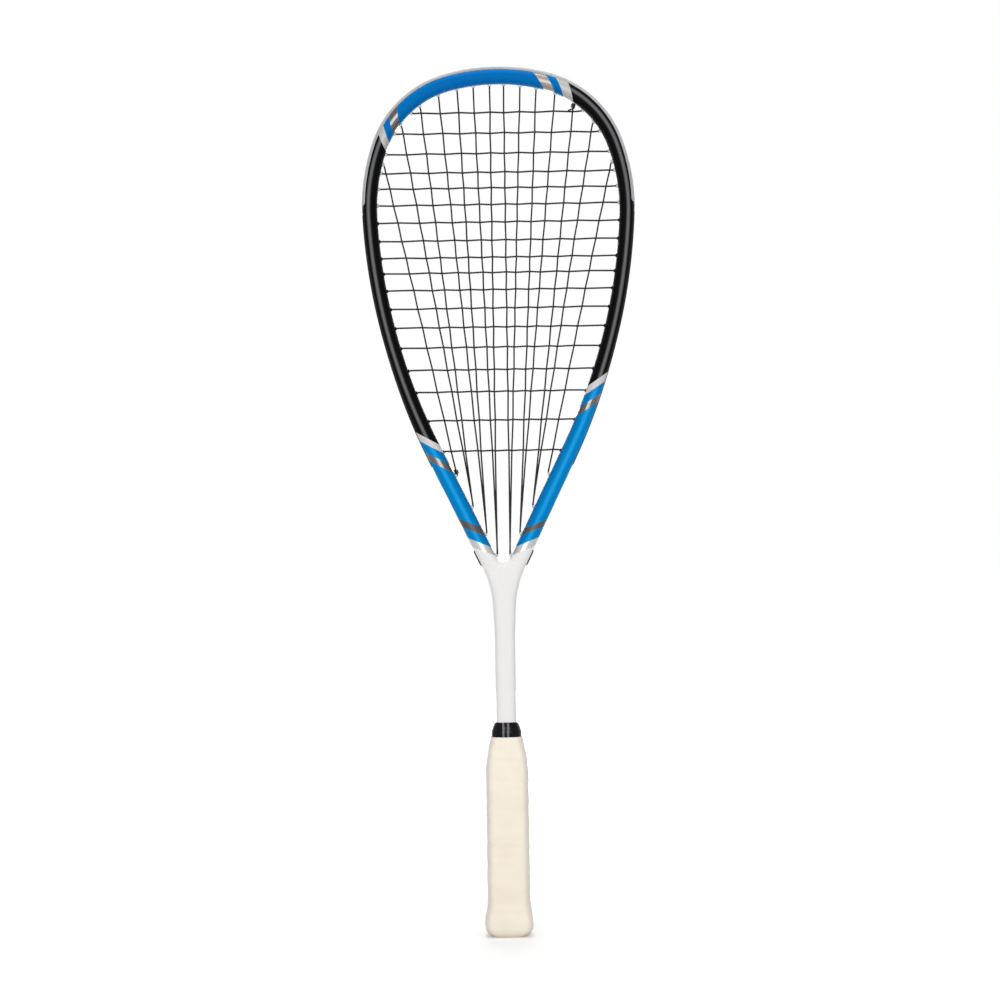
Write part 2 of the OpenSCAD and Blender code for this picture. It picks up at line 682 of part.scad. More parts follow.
// The tacks' heads lie flush at the handle's narrowest there, so that they clear the grip.
tack_z = (cap_t + cap_h) / 2;
tack_w = min([for (k = [-1:1]) handle_w(tack_z + k * (tack_head_d / 2 + fit))]);
tack_x = tack_w / 2 - core_inset - 2 * fit;
module handle_core() {
    color([0.86, 0.80, 0.66])
        difference() {
            union() {
                loft([for (z = concat([cap_t + fit], inner_levels)) handle_level(z, cap_inner)]);
                loft(concat(
                    [handle_level(cap_h + fit, core_inset)],
                    [for (z = upper_levels) if (z > cap_h + past) handle_level(z, core_inset)],
                    [[core_top, core_top_w, core_top_d]]
                ));
            }
            shaft_pocket();
            both_sides() rod([0, 0, tack_z], [far, 0, tack_z], tack_d / 2 + fit);
        }
}
module butt_cap() {
    base = handle_level(rim_z, 0);
    low = handle_level(rim_z, core_inset);
    color([0.93, 0.90, 0.84])
        difference() {
            union() {
                linear_extrude(rim_z - fit) polygon(oval(base[1], base[2], grip_e, grip_n));
                loft(concat(
                    [[rim_z / 2, low[1], low[2]], low],
                    [for (z = concat(butt_levels, [cap_h])) handle_level(z, core_inset)]
                ));
            }
            loft([for (z = concat([cap_t], inner_levels)) handle_level(z, core_inset + cap_wall)]);
            both_sides() {
                rod([0, 0, tack_z], [far, 0, tack_z], tack_d / 2 + fit);
                rod([tack_x - tack_head_t - fit, 0, tack_z], [far, 0, tack_z], tack_head_d / 2 + fit);
            }
        }
}
module butt_tacks() {
    color([0.7, 0.7, 0.72])
        both_sides() {
            rod([tack_x - tack_len, 0, tack_z], [tack_x - tack_head_t / 2, 0, tack_z], tack_d / 2);
            rod([tack_x - tack_head_t, 0, tack_z], [tack_x, 0, tack_z], tack_head_d / 2);
        }
}
module grip() {
    color([0.95, 0.91, 0.84])
        difference() {
            loft([for (z = handle_levels) handle_level(z, 0)]);
            loft(concat(
                [handle_level(rim_z, grip_t) - [past, 0, 0]],
                [for (z = handle_levels) handle_level(z, grip_t)],
                [handle_level(grip_len, grip_t) + [past, 0, 0]]
            ));
        }
}
function shaft_level(z, grow) = [z, shaft_w + 2 * grow, tube_d + 2 * grow, shaft_e];
module collar() {
    low = grip_len + fit;
    core_low = handle_level(grip_len, core_inset);
    color([0.03, 0.03, 0.03])
        difference() {
            loft([
                [low, core_low[1] + 2 * (fit + collar_low_t), core_low[2] + 2 * (fit + collar_low_t)],
                [core_top, core_top_w + 2 * (fit + collar_t), core_top_d + 2 * (fit + collar_t)],
                shaft_level(collar_top, shaft_fit + collar_t)
            ]);
            loft([
                [low - past, core_low[1] + 2 * fit, core_low[2] + 2 * fit],
                [low, core_low[1] + 2 * fit, core_low[2] + 2 * fit],
                [core_top + fit, core_top_w + 2 * fit, core_top_d + 2 * fit],
                shaft_level(core_top + 2 * fit, shaft_fit),
                shaft_level(collar_top + past, shaft_fit)
            ]);
        }
}

side_names = ["left", "right"];
bottom_names = ["outer", "upper", "lower", "fork"];
function bottom_name(side, q) = str(side_names[side > 0 ? 1 : 0], "_", bottom_names[q], "_grommet");

frame();
head_bumper();
head_strip();
side_strip(-1);  // left_strip
side_strip(1);  // right_strip
for (side = [-1, 1], q = [0:3])
    bottom_grommet(side, q);
string();
start_knot();
end_knot();
handle_core();
butt_cap();
butt_tacks();
grip();
collar();
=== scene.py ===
"""The looks of the squash racket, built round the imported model. Sizes are in millimetres until a mesh is made."""

import math

import bmesh
import bpy
import numpy as np
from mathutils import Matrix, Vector


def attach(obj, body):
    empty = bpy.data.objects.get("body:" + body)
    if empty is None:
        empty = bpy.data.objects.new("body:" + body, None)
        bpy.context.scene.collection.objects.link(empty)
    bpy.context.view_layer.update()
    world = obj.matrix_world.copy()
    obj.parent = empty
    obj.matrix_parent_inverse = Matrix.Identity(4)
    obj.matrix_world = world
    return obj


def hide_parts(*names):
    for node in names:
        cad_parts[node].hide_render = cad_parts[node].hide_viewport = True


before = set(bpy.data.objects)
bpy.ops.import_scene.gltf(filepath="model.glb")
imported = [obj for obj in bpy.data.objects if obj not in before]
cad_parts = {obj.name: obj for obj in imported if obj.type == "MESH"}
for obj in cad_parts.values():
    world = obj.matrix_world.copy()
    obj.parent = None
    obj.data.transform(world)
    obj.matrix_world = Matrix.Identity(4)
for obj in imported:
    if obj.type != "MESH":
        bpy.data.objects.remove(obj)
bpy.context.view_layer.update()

MM = 0.001

# Sizes of the frame, repeated from the CAD source
OVERALL_LEN, HEAD_W = 685.5, 214.2
CROWN_R, CROWN_A, SHOULDER_A = 158.4, 15, 55
SIDE_R, SIDE_A, FLANK_R = 153.4, 23, 471
LEG_A, THROAT_R, FORK_GAP = 26, 75.2, 7.6
TUBE_W, TUBE_D, TUBE_E = 11.6, 18, 2.6
SHAFT_W, SHAFT_FOOT, LEG_SWELL = 16, 5, 1.9
HALF_W, HALF_D = TUBE_W / 2, TUBE_D / 2

# Sizes of the strings and grommets
STRING_D, WEAVE_GAP = 1.2, 0.45
STRING_R = STRING_D / 2
STRING_FIT, FIT = 0.1, 0.1
MAIN_STEPS = [5.8, 13.5, 13.5, 16.4, 18.4, 22.9, 37]
MAIN_PAST = 13.3
CROSS_FIRST, CROSS_LAST = 21.4, 87
CROSS_STEPS = [
    16.4, 16.1, 15, 12.4, 13.1, 13.9, 14.3, 13.5, 12, 13.5, 14.5, 15, 15.8, 17.7, 17.3, 22.6, 24.1
]
BOTTOM_STEPS = [20.5, 28.5, 23.5, 18.5]
BOTTOM_LEAN = [-3, -1, -3, -4.2]
BOTTOM_SPREAD = [8, 8, 8, 13.6]
HOLE_LEAN = 0.5
BORE_D = STRING_D + 0.7
BARREL_D = BORE_D + 1.3
LANE = (BORE_D + 0.3) / 2
TIP_LEN, STRIP_T, LIP_T = 0.8, 0.8, 1.25
CHANNEL_W = 2 * (LANE + STRING_R) + 3 * STRING_FIT
GROOVE_W = CHANNEL_W + 2 * (LIP_T + FIT)
GROOVE_H = FIT + STRIP_T + STRING_FIT + STRING_D + 2 * FIT
STRIP_PROUD, BUMPER_PROUD, BUMPER_THIN, BUMPER_CROSSES = 0.3, 2.3, 0.5, 6
WEAVE_Y = (STRING_D + WEAVE_GAP) / 2
TOP_Z = OVERALL_LEN - BUMPER_PROUD
CHANNEL_FLOOR = HALF_W - GROOVE_H + FIT + STRIP_T
GROOVE_OFF = CHANNEL_FLOOR + STRING_R + STRING_FIT
BARE_OFF = HALF_W + STRING_R - 0.25

# How far the groove takes to run out below the last grommet
GROOVE_RUN_OUT = 4

# Sizes of the handle
GRIP_LEN, GRIP_W, GRIP_D = 157, 33.2, 30
GRIP_TOP_W, GRIP_TOP_D = 25.4, 24.8
TAPER_LEN, BUTT_GROW, BUTT_Z, FLARE_Z, BUTT_ROUND = 27, 4.6, 10, 29, 8
COLLAR_H = 11.5


# The middle line of the right half of the frame
def sin(a):
    return np.sin(np.radians(a))


def cos(a):
    return np.cos(np.radians(a))


SHOULDER_R = (HEAD_W / 2 - CROWN_R * sin(CROWN_A) - SIDE_R * (1 - sin(CROWN_A + SHOULDER_A))) / (
    sin(CROWN_A + SHOULDER_A) - sin(CROWN_A)
)
FLANK_A = 90 + LEG_A - CROWN_A - SHOULDER_A - SIDE_A
TURNS = [CROWN_A, SHOULDER_A, SIDE_A, FLANK_A, 0, -LEG_A, 0]
HEADINGS = [sum(TURNS[:i]) for i in range(7)]
OUTER_RADII = [CROWN_R, SHOULDER_R, SIDE_R, FLANK_R, 0, THROAT_R, 0]
RADII = [r - np.sign(t) * HALF_W if t else 0 for r, t in zip(OUTER_RADII, TURNS)]
FLANK_END_X = sum(RADII[i] * (sin(HEADINGS[i] + TURNS[i]) - sin(HEADINGS[i])) for i in range(4))
LEG_LEN = (FLANK_END_X - RADII[5] * (1 - cos(LEG_A)) - (SHAFT_W - TUBE_W) / 2) / sin(LEG_A)
LENGTHS = [r * math.radians(abs(t)) if t else LEG_LEN for r, t in zip(RADII, TURNS)]
MARKS = [sum(LENGTHS[:i]) for i in range(7)]


def along(h):
    return np.stack([cos(h), -sin(h)], -1)


def outward(h):
    return np.stack([sin(h), cos(h)], -1)


def step(p, h, turn, r, length):
    if r == 0:
        return p + np.multiply.outer(length, along(h))
    return p + np.sign(turn) * r * (outward(h + turn) - outward(h))


STARTS = [np.array([0, TOP_Z - HALF_W])]
for i in range(6):
    STARTS.append(step(STARTS[-1], HEADINGS[i], TURNS[i], RADII[i], LENGTHS[i]))
SHAFT_END = MARKS[6] + STARTS[6][1] - SHAFT_FOOT


def heading(s):
    i = max(k for k in range(7) if MARKS[k] <= s or k == 0)
    return HEADINGS[i] + TURNS[i] * (s - MARKS[i]) / LENGTHS[i]


def smooth(t):
    t = np.clip(t, 0, 1)
    return t * t * (3 - 2 * t)


# The legs widen on their outer side, from the flank to below the throat
SWELL_FROM, SWELL_FULL = MARKS[3] + LENGTHS[3] / 2, MARKS[4] + LENGTHS[4] / 3
SWELL_LAST = MARKS[5] + LENGTHS[5] / 5
SWELL_TO = 2 * MARKS[6] - SWELL_LAST


def swell(s):
    grow = smooth((s - SWELL_FROM) / (SWELL_FULL - SWELL_FROM))
    return LEG_SWELL * (grow - smooth((s - SWELL_LAST) / (SWELL_TO - SWELL_LAST)))


def widened(s, off):
    return off + swell(s) * (off / TUBE_W + 0.5)


def at(s, off=0.0):
    """The point at distance s along the middle line and off outwards from it, as x and z."""
    return line(s, widened(s, off))


def line(s, off=0.0):
    """The same before the legs are widened."""
    i = max(k for k in range(7) if MARKS[k] <= s or k == 0)
    h = heading(s)
    sign = np.sign(TURNS[i])
    if RADII[i] == 0:
        p = STARTS[i] + (s - MARKS[i]) * along(h)
    else:
        p = STARTS[i] + sign * RADII[i] * (outward(h) - outward(HEADINGS[i]))
    return p + off * outward(h)


def place(s, off, y):
    """The same in space. A negative s is on the left half."""
    x, z = at(abs(s), off)
    return np.array([-x if s < 0 else x, y, z])


def bisect(test, low, high):
    for _ in range(40):
        mid = (low + high) / 2
        low, high = (mid, high) if test(mid) else (low, mid)
    return (low + high) / 2


def inner_s(z):
    return bisect(lambda s: at(s, -HALF_W)[1] > z, 0, MARKS[6])


def unit(v):
    return v / np.linalg.norm(v)


FORK_Z = at(bisect(lambda s: at(s, -HALF_W)[0] > FORK_GAP / 2, MARKS[4], MARKS[6]), -HALF_W)[1]

# The string holes
main_scale = (MARKS[2] + MAIN_PAST) / sum(MAIN_STEPS)
main_s = [main_scale * sum(MAIN_STEPS[: m + 1]) for m in range(7)]
cross_n, main_n, half_n = len(CROSS_STEPS) + 1, 2 * len(MAIN_STEPS), len(MAIN_STEPS)
tie_main = main_n - 3
inner_top = TOP_Z - TUBE_W
cross_scale = (inner_top - FORK_Z) / (CROSS_FIRST + sum(CROSS_STEPS) + CROSS_LAST)
cross_s = [inner_s(inner_top - cross_scale * (CROSS_FIRST + sum(CROSS_STEPS[:j]))) for j in range(cross_n)]
bottom_s = [cross_s[-1] + cross_scale * sum(BOTTOM_STEPS[: q + 1]) for q in range(4)]
bumper_end = (cross_s[BUMPER_CROSSES - 1] + cross_s[BUMPER_CROSSES]) / 2
strip_end = cross_s[-1] + 2 * BARREL_D
groove_end = bottom_s[2] + BOTTOM_LEAN[2] + BOTTOM_SPREAD[2] / 2 + BARREL_D


class Hole:
    """A string hole: s at its inner and outer mouths, y at both, and the outer mouth's offset."""

    def __init__(self, s_in, s_out, y_in, y_out, off):
        self.s_out, self.y_out, self.off = s_out, y_out, off
        self.mouth = place(s_in, -HALF_W, y_in)
        self.outlet = place(s_out, off, y_out)
        self.axis = unit(self.outlet - self.mouth)
        self.tip = self.mouth - TIP_LEN * self.axis
        self.exit = self.tip - (STRING_R + STRING_FIT) * self.axis
        self.loose = self.tip - STRING_D * self.axis


def lean(s, d):
    h = heading(s)
    return HOLE_LEAN * (HALF_W + GROOVE_OFF) * (d @ along(h)) / (1 + d @ outward(h))


def side_of(i):
    return -1 if i < half_n else 1


def from_middle(i):
    return half_n - 1 - i if i < half_n else i - half_n


def bottom_of(i):
    return 3 - from_middle(i) // 2


def over(i, j):
    return 1 if (i + j) % 2 == 0 else -1


def main_top(i):
    s = main_s[from_middle(i)]
    d = unit(at(s, -HALF_W) - at(bottom_s[bottom_of(i)], -HALF_W))
    y = -LANE if i == tie_main else 0
    return Hole(side_of(i) * s, side_of(i) * (s + lean(s, d)), y, -LANE, GROOVE_OFF)


def bottom_hole(side, q, part, y):
    s = bottom_s[q]
    out = s + BOTTOM_LEAN[q] + part * BOTTOM_SPREAD[q] / 2
    return Hole(side * s, side * out, y, LANE if part == 0 else 0, BARE_OFF if q == 3 else GROOVE_OFF)


def main_part(i):
    if from_middle(i) % 2 == 1:
        return -1
    return 1 if bottom_of(i) > 0 or i == 0 else 0


def main_bottom(i):
    part = main_part(i)
    return bottom_hole(side_of(i), bottom_of(i), part, abs(part) * over(i, cross_n - 1) * LANE)


def cross_hole(j, side):
    s = cross_s[j]
    return Hole(side * s, side * (s + lean(s, np.array([1.0, 0.0]))), 0, LANE, GROOVE_OFF)


main_tops = [main_top(i) for i in range(main_n)]
main_bottoms = [main_bottom(i) for i in range(main_n)]
left_holes = [cross_hole(j, -1) for j in range(cross_n)]
right_holes = [cross_hole(j, 1) for j in range(cross_n)]
start_hole = bottom_hole(-1, 0, -1, -main_bottoms[0].mouth[1])
tie_s = main_s[from_middle(tie_main)]
tie_d = unit(at(tie_s, -HALF_W) - at(bottom_s[bottom_of(tie_main)], -HALF_W))
end_hole = Hole(tie_s, tie_s + lean(tie_s, tie_d), LANE, LANE, GROOVE_OFF)


# The string's route, as (point, True if it lies in the string bed)
def main_x(i, z):
    top, low = main_tops[i].exit, main_bottoms[i].exit
    return low[0] + (z - low[2]) / (top[2] - low[2]) * (top[0] - low[0])


# The jog at each crossing, the length without crossings at a main's ends, how far the string goes on straight outside
# a hole, and the turn in degrees between points in the groove
KINK, CLEAR, BEND, TURN_STEP = 0.2, 2, 0.5, 4


def meets(i, j):
    z = right_holes[j].exit[2]
    return main_bottoms[i].exit[2] + CLEAR < z < main_tops[i].exit[2] - CLEAR


def crossing(i, j, side):
    """Where two strings cross, with the slight jog that each gives the other."""
    z = right_holes[j].exit[2]
    jog = KINK * over(i, j)
    along_x, along_z = (jog, 0) if side > 0 else (0, jog)
    return np.array([main_x(i, z) + along_x, side * over(i, j) * WEAVE_Y, z + along_z])


def main_run(i):
    return [crossing(i, j, 1) for j in range(cross_n) if meets(i, j)]


def cross_run(j):
    return [crossing(i, j, -1) for i in range(main_n) if meets(i, j)]


def leave(hole, nxt):
    s = hole.s_out + BEND * np.sign(nxt.s_out - hole.s_out)
    return [(hole.exit, True), (hole.outlet - BEND * hole.axis, False), (place(s, hole.off, hole.y_out), False)]


def turn(a, b):
    n = math.ceil(abs(heading(abs(b.s_out)) - heading(abs(a.s_out))) / TURN_STEP)
    between = []
    for k in range(1, n):
        t = k / n
        p = place(a.s_out + t * (b.s_out - a.s_out), a.off, a.y_out + t * (b.y_out - a.y_out))
        between.append((p, False))
    return leave(a, b) + between + leave(b, a)[::-1]


def bed(points):
    return [(p, True) for p in points]


route = [(start_hole.loose, False)] + turn(start_hole, main_bottoms[0])
for i in range(main_n):
    route += bed(main_run(i)[::-1] if i % 2 == 0 else main_run(i))
    if i < main_n - 1:
        ends = main_tops if i % 2 == 0 else main_bottoms
        route += turn(ends[i], ends[i + 1])
route += turn(main_bottoms[-1], right_holes[-1])
cross_start = len(route)
for j in range(cross_n - 1, -1, -1):
    route += bed(cross_run(j)[::-1] if j % 2 == 1 else cross_run(j))
    if j > 0:
        ends = left_holes if j % 2 == 1 else right_holes
        route += turn(ends[j], ends[j - 1])
route += turn(right_holes[0], end_hole) + [(end_hole.loose, False)]


def fine_path(points, spacing, rounds):
    """The route with points close together, smooth waves in the string bed and eased corners."""
    fine = []
    for (a, bed_a), (b, bed_b) in zip(points[:-1], points[1:]):
        n = max(1, round(np.linalg.norm(b - a) / spacing))
        t = np.arange(n) / n
        p = a + t[:, None] * (b - a)
        if bed_a and bed_b:
            p[:, 1] = a[1] + (b[1] - a[1]) * (1 - np.cos(np.pi * t)) / 2
        fine.append(p)
    fine = np.concatenate(fine + [points[-1][0][None]])
    for _ in range(rounds):
        fine[1:-1] = 0.25 * fine[:-2] + 0.5 * fine[1:-1] + 0.25 * fine[2:]
    return fine


# Making meshes
def new_object(name, verts, faces, uv=None, uv_name="UVMap", smooth=True, sharp=None):
    """A mesh object from points in millimetres. uv holds one pair for each point, or for each corner."""
    mesh = bpy.data.meshes.new(name)
    mesh.from_pydata(np.asarray(verts, float) * MM, [], [list(map(int, f)) for f in faces])
    if uv is not None:
        layer = mesh.uv_layers.new(name=uv_name)
        uv = np.asarray(uv, np.float32)
        if len(uv) == len(mesh.vertices):
            corner = np.zeros(len(mesh.loops), np.int32)
            mesh.loops.foreach_get("vertex_index", corner)
            uv = uv[corner]
        layer.data.foreach_set("uv", uv.ravel())
    mesh.update()
    obj = bpy.data.objects.new(name, mesh)
    bpy.context.scene.collection.objects.link(obj)
    mesh.polygons.foreach_set("use_smooth", [smooth] * len(mesh.polygons))
    if sharp is not None:
        mesh.set_sharp_from_angle(angle=math.radians(sharp))
    return obj


def tidy(obj, sharp, merge=0.004):
    """Joins points that lie together, turns all faces outwards and keeps edges over an angle sharp."""
    b = bmesh.new()
    b.from_mesh(obj.data)
    bmesh.ops.remove_doubles(b, verts=b.verts, dist=merge * MM)
    bmesh.ops.recalc_face_normals(b, faces=b.faces)
    b.to_mesh(obj.data)
    b.free()
    obj.data.set_sharp_from_angle(angle=math.radians(sharp))
    return obj


def ring_faces(rings, n, closed=True):
    r, k = np.meshgrid(np.arange(rings - 1), np.arange(n if closed else n - 1), indexing="ij")
    a, b = r * n + k, r * n + (k + 1) % n
    return np.stack([a, b, b + n, a + n], -1).reshape(-1, 4)


def ring_uv(rings, n, us, shift=0.0):
    """Corner UVs for ring_faces: us along the rings, and 0 to 1 round each, moved by shift."""
    r, k = np.meshgrid(np.arange(rings - 1), np.arange(n), indexing="ij")
    us = np.asarray(us)
    u0, u1 = us[r], us[r + 1]
    start = np.broadcast_to(shift, (rings - 1,))[:, None]
    v0, v1 = start + k / n, start + (k + 1) / n
    return np.stack([u0, v0, u0, v1, u1, v1, u1, v0], -1).reshape(-1, 2)


def tube(path, radius, sides):
    """Points and faces of a round tube along a path, with closed ends, and each ring's distance along it."""
    d = np.diff(path, axis=0)
    length = np.linalg.norm(d, axis=1)
    d /= length[:, None]
    tangents = np.concatenate([d[:1], d[:-1] + d[1:], d[-1:]])
    tangents /= np.linalg.norm(tangents, axis=1)[:, None]
    n = np.cross(tangents[0], [0.31, 0.9, 0.22])
    normals = []
    for t in tangents:
        n = n - (n @ t) * t
        n = n / np.linalg.norm(n)
        normals.append(n)
    normals = np.array(normals)
    sides_dir = np.cross(tangents, normals)
    a = 2 * np.pi * np.arange(sides) / sides
    r = np.broadcast_to(np.asarray(radius, float), (len(path),))
    rings = path[:, None] + r[:, None, None] * (
        np.cos(a)[None, :, None] * normals[:, None] + np.sin(a)[None, :, None] * sides_dir[:, None]
    )
    verts = rings.reshape(-1, 3)
    faces = ring_faces(len(path), sides)
    return verts, faces, np.concatenate([[0], np.cumsum(length)])


def join(parts):
    """Several (points, faces) as one."""
    verts, faces, base = [], [], 0
    for v, f in parts:
        verts.append(np.asarray(v))
        faces += [[int(i) + base for i in face] for face in f]
        base += len(v)
    return np.concatenate(verts), faces


def with_ends(verts, faces, n):
    """The same rings with a face over each end."""
    last = len(verts) - n
    return verts, [list(f) for f in faces] + [list(range(n))[::-1], [last + k for k in range(n)]]


def lathe(origin, axis, profile, sides=24):
    """A turned shape: profile is (distance along the axis, radius) points."""
    axis = unit(np.asarray(axis, float))
    n = unit(np.cross(axis, [0.31, 0.9, 0.22]))
    m = np.cross(axis, n)
    a = 2 * np.pi * np.arange(sides) / sides
    ring = np.cos(a)[:, None] * n + np.sin(a)[:, None] * m
    verts = np.concatenate([origin + h * axis + r * ring for h, r in profile])
    return verts, ring_faces(len(profile), sides)


def oval_point(w, d, e, t):
    c, s = cos(t), sin(t)
    return np.sign(c) * abs(c) ** (2 / e) * w / 2, np.sign(s) * abs(s) ** (2 / e) * d / 2


# The frame: rows across the right half, from the crown to the foot of the shaft, mirrored
GROOVE_T = math.degrees(math.asin((GROOVE_W / TUBE_D) ** (TUBE_E / 2)))
row_t = np.linspace(GROOVE_T, 180, 37)
row_off, row_y = oval_point(TUBE_W, TUBE_D, TUBE_E, row_t)
row_y[-1] = 0
row_share = (1 - row_off / HALF_W) / 2
S_JOIN = 436.0

# The inner edge below that: down the leg, round the fork and down the axis
edge_a, edge_b = at(S_JOIN, -HALF_W), at(S_JOIN + 5, -HALF_W)
slope = math.atan2(edge_a[0] - edge_b[0], edge_a[1] - edge_b[1])
apex_z = edge_a[1] - edge_a[0] / math.tan(slope)
fork_c = (FORK_Z - apex_z) / (1 - math.sin(slope))
fork_r = fork_c * math.sin(slope)
tangent = np.array([fork_r * math.cos(slope), apex_z + fork_c * math.cos(slope) ** 2])
LEVEL_Z = 232.0
leg_t = np.linspace(0, 1, 14)[:, None]
leg_edge = edge_a + leg_t * (tangent - edge_a)


def fork_arc(a):
    """The bottom of the fork, a little squarer than a circle."""
    x = tangent[0] * np.sign(np.cos(a)) * (np.abs(np.cos(a)) / math.cos(slope)) ** 0.75
    z = tangent[1] + (FORK_Z - tangent[1]) * (np.sin(a) - math.sin(slope)) / (1 - math.sin(slope))
    return np.stack([x, z], -1)


arc_edge = fork_arc(np.linspace(slope, math.pi / 2, 15)[1:])
axis_t = np.linspace(0, 1, 40)[1:] ** 1.6
axis_edge = np.stack([0 * axis_t, FORK_Z + axis_t * (LEVEL_Z - FORK_Z)], -1)
inner_edge = np.concatenate([leg_edge, arc_edge, axis_edge])
s_tangent, s_fork = 461.0, 474.0
s_level = bisect(lambda s: at(s, HALF_W)[1] > LEVEL_Z, MARKS[5], SHAFT_END)
outer_s = np.concatenate([
    S_JOIN + leg_t[:, 0] * (s_tangent - S_JOIN),
    s_tangent + np.linspace(0, 1, 15)[1:] * (s_fork - s_tangent),
    s_fork + axis_t * (s_level - s_fork),
])
throat_rows = [(at(s, HALF_W), p) for s, p in zip(outer_s, inner_edge)]
shaft_z = np.linspace(LEVEL_Z, SHAFT_FOOT, 46)[1:]
shaft_rows = [(np.array([SHAFT_W / 2, z]), np.array([0.0, z])) for z in shaft_z]
low_rows = np.array(throat_rows[1:] + shaft_rows)
head_s = np.concatenate([np.arange(0, S_JOIN, 2.0), [S_JOIN]])
row_s = np.concatenate([head_s, outer_s[1:], s_level + LEVEL_Z - shaft_z])
low_xz = low_rows[:, None, 0] + row_share[None, :, None] * (low_rows[:, None, 1] - low_rows[:, None, 0])

# Depth of the throat and shaft: rounded from every edge as the tube is
CURVE_FROM, CURVE_STEP = S_JOIN - 40, 0.5
outer_curve = np.array([at(s, HALF_W) for s in np.arange(CURVE_FROM, SHAFT_END, CURVE_STEP)])
leg_curve = np.array([at(s, -HALF_W) for s in np.arange(CURVE_FROM, S_JOIN, CURVE_STEP)])
fine_leg = edge_a + np.linspace(0, 1, 60)[:, None] * (tangent - edge_a)
fine_arc = fork_arc(np.linspace(slope, math.pi - slope, 90))
inner_curve = np.concatenate([leg_curve, fine_leg, fine_arc])


def distance(points, curve):
    """Distance of each point from a line of points."""
    a, b = curve[:-1], curve[1:]
    ab = b - a
    flat = points.reshape(-1, 2)
    best = np.full(len(flat), 1e9)
    for chunk in range(0, len(flat), 500):
        p = flat[chunk : chunk + 500, None]
        t = np.clip(((p - a) * ab).sum(-1) / np.maximum((ab**2).sum(-1), 1e-12), 0, 1)
        best[chunk : chunk + 500] = np.sqrt((((a + t[..., None] * ab) - p) ** 2).sum(-1)).min(1)
    return best.reshape(points.shape[:-1])


inset = np.minimum(distance(low_xz, outer_curve), distance(low_xz, inner_curve))
low_half = HALF_W + swell(row_s[len(head_s):]) / 2
low_depth = HALF_D * (1 - (1 - np.minimum(inset / low_half[:, None], 1)) ** TUBE_E) ** (1 / TUBE_E)
# A shallow dip runs down the middle from the fork
DIP, DIP_HALF, DIP_FOOT = 0.9, 2.6, 250
dip_z = np.clip((low_xz[..., 1] - DIP_FOOT) / (FORK_Z - DIP_FOOT), 0, 1)
low_depth -= DIP * dip_z**1.5 * np.exp(-((low_xz[..., 0] / DIP_HALF) ** 2)) * smooth((low_depth - 4) / 5)

# Points of the paint: distance along the middle line and offset from it
middle_s = np.arange(S_JOIN - 30, SHAFT_END, CURVE_STEP)
middle = np.array([line(s) for s in middle_s])
middle_h = np.array([heading(s) for s in middle_s])


def paint_of(xz):
    flat = xz.reshape(-1, 2)
    near = np.array([((middle - p) ** 2).sum(1).argmin() for p in flat])
    v = flat - middle[near]
    s = middle_s[near] + (v * along(middle_h[near])).sum(1)
    off = (v * outward(middle_h[near])).sum(1)
    return np.stack([s, off], -1).reshape(xz.shape)


head_rows = np.array([(at(s, HALF_W), at(s, -HALF_W)) for s in head_s])
head_xz = head_rows[:, None, 0] + row_share[None, :, None] * (head_rows[:, None, 1] - head_rows[:, None, 0])
head_depth = np.broadcast_to(row_y, head_xz.shape[:2])
head_paint = np.stack(np.broadcast_arrays(head_s[:, None], widened(head_s[:, None], row_off[None])), -1)
frame_xz = np.concatenate([head_xz, low_xz])
frame_depth = np.concatenate([head_depth, low_depth])
frame_paint = np.concatenate([head_paint, paint_of(low_xz)])
outer_xz = np.concatenate([head_rows[:, 0], low_rows[:, 0]])
inner_xz = np.concatenate([head_rows[:, 1], low_rows[:, 1]])


def frame_half(side):
    """Points, faces and paint UVs of one half of the frame."""
    n_rows, n_cols = frame_depth.shape
    inwards = inner_xz - outer_xz
    inwards /= np.linalg.norm(inwards, axis=1)[:, None]
    groove = np.clip((groove_end + GROOVE_RUN_OUT - row_s) / GROOVE_RUN_OUT, 0, 1)
    floor = outer_xz + (GROOVE_H * groove)[:, None] * inwards
    edge_y = frame_depth[:, 0]
    corner_y = GROOVE_W / 2 * (0.5 + 0.5 * groove)
    parts, uvs = [], []
    for y_sign in (-1, 1):
        front = np.stack([side * frame_xz[..., 0], y_sign * frame_depth, frame_xz[..., 1]], -1)
        corner = np.stack([side * floor[:, 0], y_sign * np.minimum(corner_y, edge_y), floor[:, 1]], -1)
        middle_line = np.stack([side * floor[:, 0], 0 * row_s, floor[:, 1]], -1)
        grid = np.concatenate([middle_line[:, None], corner[:, None], front], 1)
        parts.append((grid.reshape(-1, 3), ring_faces(n_rows, n_cols + 2, closed=False)))
        p = frame_paint * np.array([side, 1])
        edge = np.stack([p[:, 0, 0], np.full(n_rows, HALF_W)], -1)[:, None]
        uvs.append(np.concatenate([edge, edge, p], 1).reshape(-1, 2))
    verts, faces = join(parts)
    return verts, faces, np.concatenate(uvs)


right_half, left_half = frame_half(1), frame_half(-1)
verts, faces = join([right_half[:2], left_half[:2]])
frame_shell = tidy(new_object(
    "frame_shell", verts, faces, uv=np.concatenate([right_half[2], left_half[2]]), uv_name="Paint"
), sharp=42)


# Sweeps along the frame
def sweep(s_list, outlines):
    """Points of outlines [outward, depth] set at places along the frame."""
    rings = []
    for s, outline in zip(s_list, outlines):
        x, z = line(abs(s))
        o = outward(heading(abs(s)))
        side = -1 if s < 0 else 1
        outline = np.asarray(outline, float)
        off = widened(abs(s), outline[:, 0])
        rings.append(np.stack([side * (x + off * o[0]), outline[:, 1], z + off * o[1]], -1))
    return np.concatenate(rings), ring_faces(len(s_list), len(outlines[0]))


def places(start, end, spacing):
    return np.linspace(start, end, max(2, round(abs(end - start) / spacing) + 1))


